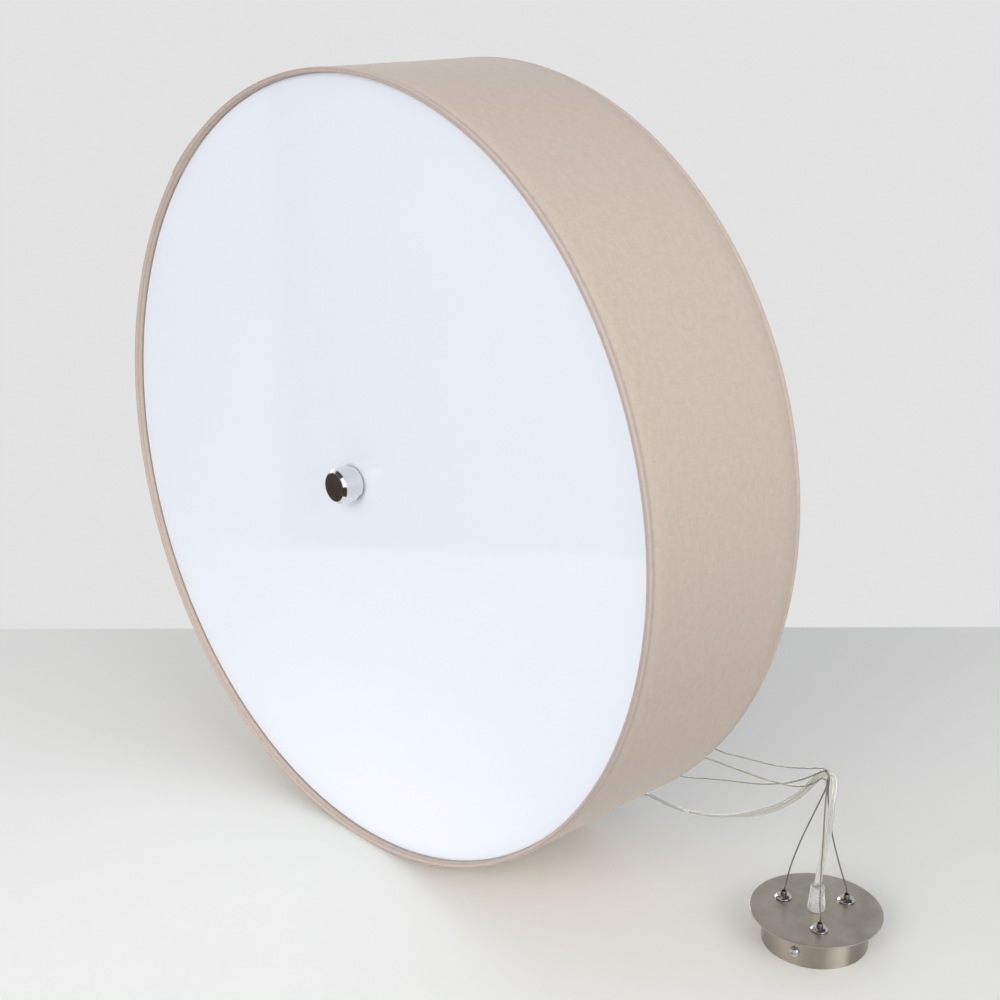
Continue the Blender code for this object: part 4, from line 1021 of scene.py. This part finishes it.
class PENDANT_OT_frame(Operator):
    """Front ring, and the back ring welded to three arms, their pads and the hub plate"""
    bl_idname = "pendant.frame"
    bl_label = "Rings and arms"

    def execute(self, context):
        rings = []
        for name, depth in (("front", BEAD_R), ("back", SHADE_DEPTH - BEAD_R)):
            deselect()
            bpy.ops.mesh.primitive_torus_add(major_segments=BIG_STEPS, minor_segments=12,
                                             major_radius=RING_CENTRE_R, minor_radius=RING_WIRE_R,
                                             location=(0, 0, depth))
            ring = context.object
            ring.name = f"{name}_rim_ring"
            bpy.ops.object.shade_smooth()
            bpy.ops.object.transform_apply(location=True, rotation=True, scale=True)
            rings.append(settle(ring, DRUM))
        finish_piece(rings[0], "zinc", ["front_ring"])
        plate = tube(0.028, ROD_HOLE_R, ARM_DEPTH - 0.001, ARM_DEPTH + 0.001, 0.0005)
        pieces = [rings[1], turned("hub_plate", plate, MID_STEPS)]
        arm = [(0, 0.026), (ARM_R, 0.026, 0.0004), (ARM_R, RING_CENTRE_R, 0.0004), (0, RING_CENTRE_R)]
        weld = [(0, 0.2930), (ARM_R, 0.2930)] + arc(ARM_R, 0.2952, 0.0006, -60, 60, 6)
        weld += [(ARM_R, 0.2978), (0, 0.2978)]
        pad = [(0, -0.002), (0.0055, -0.002, 0.0006), (0.0055, 0.002, 0.0006), (0, 0.002)]
        for angle in LAMP_ANGLES:
            pieces.append(turned("arm", arm, TINY_STEPS, spoke(angle, ARM_DEPTH)))
            pieces.append(turned("weld", weld, TINY_STEPS, spoke(angle, ARM_DEPTH)))
            pieces.append(turned("pad", pad, SMALL_STEPS, round_drum(angle, ANCHOR_SPREAD, ARM_DEPTH)))
        finish_piece(joined("spider_frame", pieces), "enamel", ["back_frame"])
        return {"FINISHED"}


# ---------------------------------------------------------------- diffuser and knob

class PENDANT_OT_diffuser(Operator):
    """Opal acrylic disc, recessed in the front rim"""
    bl_idname = "pendant.diffuser"
    bl_label = "Diffuser"

    def execute(self, context):
        settings = context.scene.pendant_diffuser
        low, high = settings.recess, settings.recess + settings.thickness
        disc = turned("opal_disc", tube(settings.radius, ROD_HOLE_R, low, high, 0.0005), BIG_STEPS)
        finish_piece(flat_shaded(disc), "opal", ["diffuser_disc"], "diffuser")
        return {"FINISHED"}


class PENDANT_OT_knob(Operator):
    """Chrome knob, its washer in front of the disc and the collar behind it"""
    bl_idname = "pendant.knob"
    bl_label = "Knob"

    def execute(self, context):
        settings = context.scene.pendant_diffuser
        front, neck, neck_back, sleeve_back = -0.0132, 0.0118, 0.0050, -0.0075
        corners = [(0, front), (settings.knob_radius - 0.0020, front, 0.00025),
                   (settings.knob_radius, front + 0.0020, 0.0004), (settings.knob_back_radius, 0, 0.0005),
                   (neck, 0, 0.0006), (neck, neck_back), (ROD_HOLE_R, neck_back), (ROD_HOLE_R, sleeve_back),
                   (0, sleeve_back)]
        knob = turned("chrome_knob", corners, MID_STEPS, smooth=20)
        finish_piece(flat_shaded(knob), "chrome", ["knob"], "knob")
        lathed("nylon_washer", tube(0.0080, ROD_HOLE_R, 0.0053, 0.0063, 0.0003), MID_STEPS, "nylon",
               ["knob_washer"], body="diffuser")
        lathed("threaded_collar", tube(0.012, ROD_HOLE_R, 0.0099, 0.0159, 0.0008), MID_STEPS, "zinc",
               ["disc_collar"])
        return {"FINISHED"}


# ---------------------------------------------------------------- rod, hub and lamps

def threaded(low, high, pitch, crests):
    """Corners of a hollow threaded rod, with the shares of the pitch at which each thread is full."""
    root = ROD_R - 0.0004
    corners = [(ROD_BORE, low), (root, low)]
    for turn in range(int((high - low) / pitch) - 1):
        foot = low + pitch * (turn + 0.5)
        corners += [(root, foot)] + [(ROD_R, foot + pitch * share) for share in crests]
    return corners + [(root, high), (ROD_BORE, high)]


class PENDANT_OT_rod(Operator):
    """Threaded centre rod and its four nuts"""
    bl_idname = "pendant.rod"
    bl_label = "Centre rod"

    def execute(self, context):
        thread = threaded(-0.0069, 0.1559, 0.0015, (0.4, 0.6))
        lathed("threaded_rod", thread, TINY_STEPS, "zinc", ["center_rod"], smooth=25)
        # Hexagon nuts with rounded corners, 19 mm over the flats
        nut_r, nut_height = 0.0095 / math.cos(math.pi / 6), 0.005
        for name, foot in (("hub_front_nut", 0.0527), ("hub_back_nut", 0.1001), ("spider_front_nut", 0.1430),
                           ("spider_back_nut", 0.1506)):
            nut = turned(f"{name}_hex", tube(nut_r, ROD_HOLE_R, foot, foot + nut_height), 6)
            finish_piece(bevelled(nut, nut_height * 0.1, 35), "zinc", [name])
        return {"FINISHED"}


class PENDANT_OT_hub(Operator):
    """Round hub box and its cover"""
    bl_idname = "pendant.hub"
    bl_label = "Hub"

    def execute(self, context):
        low, high, radius, wall, screw_spread = 0.058, 0.098, 0.033, 0.0015, 0.0235
        box = [(ROD_HOLE_R, low), (radius, low, 0.003), (radius, high), (radius - wall, high),
               (radius - wall, low + wall, 0.0015), (ROD_HOLE_R, low + wall)]
        lathed("hub_box", box, MID_STEPS, "enamel", ["hub_housing"])
        foot = high + GAP
        top = foot + wall
        lid = [(ROD_HOLE_R, foot), (radius, foot), (radius, top, 0.0011), (ROD_HOLE_R, top)]
        lathed("hub_lid", lid, MID_STEPS, "enamel", ["hub_cover"])
        screw = [(0, top - 0.0002), (0.0034, top - 0.0002), (0.0034, top + 0.0008, 0.0004),
                 (0.0020, top + 0.0016, 0.0006), (0, top + 0.0017)]
        for index, angle in enumerate((30, 210), 1):
            head = turned(f"lid_screw_{index}", screw, TINY_STEPS, round_drum(angle, screw_spread))
            cut_out(head, cross_tool(0.0032, 0.0007, 0.0014, round_drum(angle, screw_spread, top + 0.0014)))
            finish_piece(head, "zinc")
        return {"FINISHED"}


def cross_tool(length, width, depth, place):
    """Two crossed bars that cut a cross recess, centred on the place's origin."""
    bars = []
    for size in ((length, width, depth), (width, length, depth)):
        deselect()
        bpy.ops.mesh.primitive_cube_add(size=1, scale=size)
        bars.append(settle(bpy.context.object, place))
    apply_modifier(bars[0], "BOOLEAN", operation="UNION", solver="EXACT", object=bars[1])
    bpy.data.objects.remove(bars[1], do_unlink=True)
    return bars[0]


class PENDANT_OT_lampholders(Operator):
    """Three moulded lampholders on threaded nipples"""
    bl_idname = "pendant.lampholders"
    bl_label = "Lampholders"

    def execute(self, context):
        foot, step, mouth, seat = 0.0333, 0.0553, 0.0873, 0.0573
        body, skirt, bore = 0.0150, 0.0200, 0.0142
        holder = [(ROD_HOLE_R, foot), (body, foot, 0.0012), (body, step, 0.002),
                  (skirt - 0.0004, step + 0.005, 0.0015), (skirt - 0.0004, step + 0.009),
                  (skirt, step + 0.0092, 0.0003), (skirt, mouth - 0.0006, 0.0005), (skirt - 0.0008, mouth),
                  (bore + 0.001, mouth, 0.0005), (bore, mouth - 0.0015), (bore, seat), (ROD_HOLE_R, seat)]
        nipple = threaded(0.0235, 0.0433, 0.0012, (0.5,))
        for index, angle in enumerate(LAMP_ANGLES, 1):
            place = spoke(angle, LAMP_DEPTH)
            piece = turned(f"moulded_holder_{index}", holder, 144, place)
            flat = place.inverted()
            # 36 shallow ribs round the skirt
            for vertex in piece.data.vertices:
                point = flat @ vertex.co
                spread_r = math.hypot(point.x, point.y)
                if step + 0.0095 < point.z < mouth - 0.0007 and spread_r > skirt - 0.0002:
                    wave = 0.5 - 0.5 * math.cos(36 * math.atan2(point.y, point.x))
                    scale = 1 - 0.0005 * wave / spread_r
                    vertex.co = place @ Vector((point.x * scale, point.y * scale, point.z))
            finish_piece(piece, "holder", [f"lampholder_{index}"])
            lathed(f"threaded_nipple_{index}", nipple, TINY_STEPS, "zinc", [f"nipple_{index}"], place,
                   smooth=25)
        return {"FINISHED"}


class PENDANT_OT_bulbs(Operator):
    """Three white glass bulbs with threaded caps"""
    bl_idname = "pendant.bulbs"
    bl_label = "Bulbs"

    def execute(self, context):
        settings = context.scene.pendant_lamps
        foot, glass_t, cap_r, hollow = 0.0576, 0.001, 0.0132, 0.0125
        neck_r, neck_foot, neck_end = 0.0119, 0.017, 0.0315
        shoulder = arc(0, settings.bulb_length - settings.bulb_radius, settings.bulb_radius, -38, 90, 20)
        start_r, start_h = shoulder[0]
        flare = []
        for share in (step / 12 for step in range(1, 12)):
            bow = 0.35 * share + 0.65 * eased(share)
            flare.append((neck_r + (start_r - neck_r) * bow, neck_end + (start_h - neck_end) * share))
        glass = [(neck_r, neck_foot), (neck_r, neck_end)] + flare + shoulder
        glass += [(max(0.0, r - glass_t), h - glass_t) for r, h in reversed(shoulder)]
        glass += [(r - glass_t, h) for r, h in reversed(flare)]
        glass += [(neck_r - glass_t, neck_end), (neck_r - glass_t, neck_foot)]
        cap = [(0, 0.0004), (0.0026, 0.0), (0.0046, 0.0008), (0.0052, 0.0016), (0.0098, 0.0036),
               (0.0121, 0.0046)]
        for base in (0.0050 + 0.0036 * turn for turn in range(5)):
            cap += [(0.0122, base), (0.0127, base + 0.0006), (cap_r, base + 0.0014), (cap_r, base + 0.0020),
                    (0.0127, base + 0.0028)]
        cap += [(0.0122, 0.0232), (0.0128, 0.0245), (0.0131, 0.025), (hollow, 0.025), (hollow, 0.007),
                (0, 0.007)]
        for index, angle in enumerate(LAMP_ANGLES, 1):
            place = spoke(angle, LAMP_DEPTH) @ Matrix.Translation((0, 0, foot))
            lathed(f"glass_{index}", glass, 64, "glass", [f"bulb_glass_{index}"], place, f"bulb_{index}", 50)
            screw = lathed(f"threaded_cap_{index}", cap, SMALL_STEPS, "cap", [f"bulb_cap_{index}"], place,
                           f"bulb_{index}", 40)
            screw.data.materials.append(LOOKS["insulator"])
            flat = place.inverted()
            for face in screw.data.polygons:
                point = flat @ face.center
                if 0.0018 < point.z < 0.0045 and math.hypot(point.x, point.y) < 0.0115:
                    face.material_index = 1
        return {"FINISHED"}


# ---------------------------------------------------------------- canopy and fittings

class PENDANT_OT_anchors(Operator):
    """Crimped wire ends on the arms and the clear grip on the rod"""
    bl_idname = "pendant.anchors"
    bl_label = "Wire anchors"

    def execute(self, context):
        low, wide, waist = ARM_DEPTH + 0.002 + GAP, 0.0026, 0.0021
        ferrule = [(0, low), (wide, low, 0.0004), (wide, low + 0.0022, 0.0003), (waist, low + 0.003, 0.0003),
                   (waist, low + 0.005, 0.0003), (wide, low + 0.0058, 0.0003), (wide, low + 0.008, 0.0006),
                   (0.0007, low + 0.008), (0.0007, low + 0.0068), (0, low + 0.0068)]
        for index, angle in enumerate(LAMP_ANGLES, 1):
            lathed(f"wire_ferrule_{index}", ferrule, SMALL_STEPS, "chrome", [f"wire_anchor_{index}"],
                   round_drum(angle, ANCHOR_SPREAD))
        seat = 0.1562
        sleeve = [(GRIP_BORE, seat), (GRIP_BASE_R, seat, 0.0005), (GRIP_BASE_R, seat + 0.002, 0.0005),
                  (GRIP_TOP_R, seat + GRIP_HEIGHT, 0.0006), (GRIP_BORE, seat + GRIP_HEIGHT)]
        lathed("rod_grip_sleeve", sleeve, MID_STEPS, "grip", ["rod_cord_grip"])
        return {"FINISHED"}


class PENDANT_OT_canopy(Operator):
    """Round canopy plate, its cup and the two side screws"""
    bl_idname = "pendant.canopy"
    bl_label = "Canopy"

    def execute(self, context):
        settings = context.scene.pendant_canopy
        low, cup_r = CANOPY_HEIGHT - PLATE_T, settings.cup_radius
        corners = tube(settings.plate_radius, 0.005, low, CANOPY_HEIGHT, 0.0004)
        plate = turned("nickel_plate", corners, 192, CANOPY)
        finish_piece(flat_shaded(plate), "plate", ["canopy_plate"])
        top = low - GAP
        cup = [(cup_r - 0.001, 0), (cup_r, 0, 0.0003), (cup_r, top, 0.0015), (cup_r - 0.005, top),
               (cup_r - 0.005, top - 0.001), (cup_r - 0.001, top - 0.001, 0.001)]
        lathed("nickel_cup", cup, 192, "nickel", ["canopy_cup"], CANOPY)
        foot = cup_r + GAP
        crown = foot + 0.0026
        screw = [(0, foot - 0.007), (0.0019, foot - 0.007), (0.0019, foot), (0.0039, foot, 0.0003),
                 (0.0037, foot + 0.0013, 0.0008), (0.0024, crown - 0.0001, 0.0012), (0, crown)]
        for index, angle in enumerate(SCREW_ANGLES, 1):
            turn = Matrix.Rotation(math.radians(angle), 4, "Z") @ Matrix.Rotation(math.pi / 2, 4, "Y")
            place = CANOPY @ Matrix.Translation((0, 0, SCREW_LEVEL)) @ turn
            head = turned(f"pan_head_screw_{index}", screw, SMALL_STEPS, place, smooth=40)
            cut_out(head, cross_tool(0.0036, 0.0009, 0.003, place @ Matrix.Translation((0, 0, crown))))
            finish_piece(head, "plated", [f"side_screw_{index}"])
        return {"FINISHED"}


class PENDANT_OT_grippers(Operator):
    """Three domed wire grippers with their nozzles"""
    bl_idname = "pendant.grippers"
    bl_label = "Wire grippers"

    def execute(self, context):
        dome = [(0.0012, -0.0095), (0.0036, -0.0095, 0.0003), (0.0036, 0), (0.0062, 0, 0.0002),
                (0.0062, 0.0007, 0.0003), (0.0050, 0.00165, 0.0012), (0.0032, 0.0021, 0.0003),
                (0.0026, 0.0021), (0.0026, -0.0081), (0.0012, -0.0081)]
        nozzle = [(0.0009, -0.0039), (0.0023, -0.0039), (0.0023, 0.0043, 0.0003), (0.0019, 0.0050, 0.0003),
                  (0.0015, 0.0050), (0.0014, 0.0036), (0.0009, 0.0032)]
        for index, angle in enumerate(GRIPPER_ANGLES, 1):
            place = round_canopy(angle, GRIPPER_SPREAD, CANOPY_HEIGHT + GAP)
            lathed(f"gripper_dome_{index}", dome, 64, "plated", [f"gripper_body_{index}"], place)
            lathed(f"gripper_nozzle_{index}", nozzle, SMALL_STEPS, "nozzle", [f"gripper_plunger_{index}"],
                   place, f"plunger_{index}")
        return {"FINISHED"}


class PENDANT_OT_cord_grip(Operator):
    """Frosted tapered strain relief with fine rings round its lower part"""
    bl_idname = "pendant.cord_grip"
    bl_label = "Cord grip"

    def execute(self, context):
        foot, step, pitch = 0.0020, 0.0125, 0.0013
        slope = (GRIP_TOP_R - GRIP_BASE_R) / GRIP_HEIGHT
        corners = [(GRIP_BORE, -0.0095), (0.0046, -0.0095), (0.0046, 0), (GRIP_BASE_R, 0, 0.0004),
                   (GRIP_BASE_R, foot, 0.0003)]
        for ring in range(int((step - foot) / pitch)):
            low = foot + 0.0004 + pitch * ring
            reach = GRIP_BASE_R + slope * low
            corners += [(reach - 0.0003, low), (reach, low + pitch * 0.3), (reach, low + pitch * 0.75)]
        middle = GRIP_BASE_R + slope * step
        corners += [(middle, step, 0.0002), (middle - 0.0004, step + 0.0001),
                    (GRIP_TOP_R, GRIP_HEIGHT, 0.0006), (GRIP_BORE, GRIP_HEIGHT, 0.0003)]
        place = round_canopy(0, 0, CANOPY_HEIGHT + GAP)
        lathed("frosted_grip", corners, MID_STEPS, "grip", ["cord_grip"], place)
        return {"FINISHED"}


class PENDANT_OT_hidden_fittings(Operator):
    """Nuts, bracket and terminal blocks that keep their solids, with their real finishes"""
    bl_idname = "pendant.hidden_fittings"
    bl_label = "Hidden fittings"

    def execute(self, context):
        for look, names in (("zinc", ("mounting_bracket", "cord_grip_nut", "gripper_nut_1", "gripper_nut_2",
                                      "gripper_nut_3")), ("holder", ("hub_terminal", "canopy_terminal"))):
            for name in names:
                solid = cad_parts[name]
                solid.data.materials.clear()
                solid.data.materials.append(LOOKS[look])
        return {"FINISHED"}


# ---------------------------------------------------------------- add-on

SETTINGS = {"pendant_shade": ShadeSettings, "pendant_diffuser": DiffuserSettings,
            "pendant_lamps": LampSettings, "pendant_canopy": CanopySettings,
            "pendant_cords": CordSettings, "pendant_stage": StageSettings}
OPERATORS = (PENDANT_OT_stage, PENDANT_OT_cords, PENDANT_OT_shade_cover, PENDANT_OT_shade_lining,
             PENDANT_OT_frame, PENDANT_OT_diffuser, PENDANT_OT_knob, PENDANT_OT_rod, PENDANT_OT_hub,
             PENDANT_OT_lampholders, PENDANT_OT_bulbs, PENDANT_OT_anchors, PENDANT_OT_canopy,
             PENDANT_OT_grippers, PENDANT_OT_cord_grip, PENDANT_OT_hidden_fittings)


class PENDANT_PT_panel(Panel):
    """Lists the pieces of the light and their sizes"""
    bl_idname = "PENDANT_PT_panel"
    bl_label = "Drum pendant light"
    bl_space_type = "VIEW_3D"
    bl_region_type = "UI"
    bl_category = "Pendant"

    def draw(self, context):
        for name, group_type in SETTINGS.items():
            box = self.layout.box()
            for key in group_type.__annotations__:
                box.prop(getattr(context.scene, name), key)
        for operator in OPERATORS:
            self.layout.operator(operator.bl_idname)


def register():
    for name, group_type in SETTINGS.items():
        bpy.utils.register_class(group_type)
        setattr(bpy.types.Scene, name, PointerProperty(type=group_type))
    for kind in (*OPERATORS, PENDANT_PT_panel):
        bpy.utils.register_class(kind)


def unregister():
    for kind in (PENDANT_PT_panel, *reversed(OPERATORS)):
        bpy.utils.unregister_class(kind)
    for name, group_type in SETTINGS.items():
        delattr(bpy.types.Scene, name)
        bpy.utils.unregister_class(group_type)


def main():
    register()
    for operator in OPERATORS:
        area, name = operator.bl_idname.split(".")
        getattr(getattr(bpy.ops, area), name)()


if __name__ == "__main__":
    main()
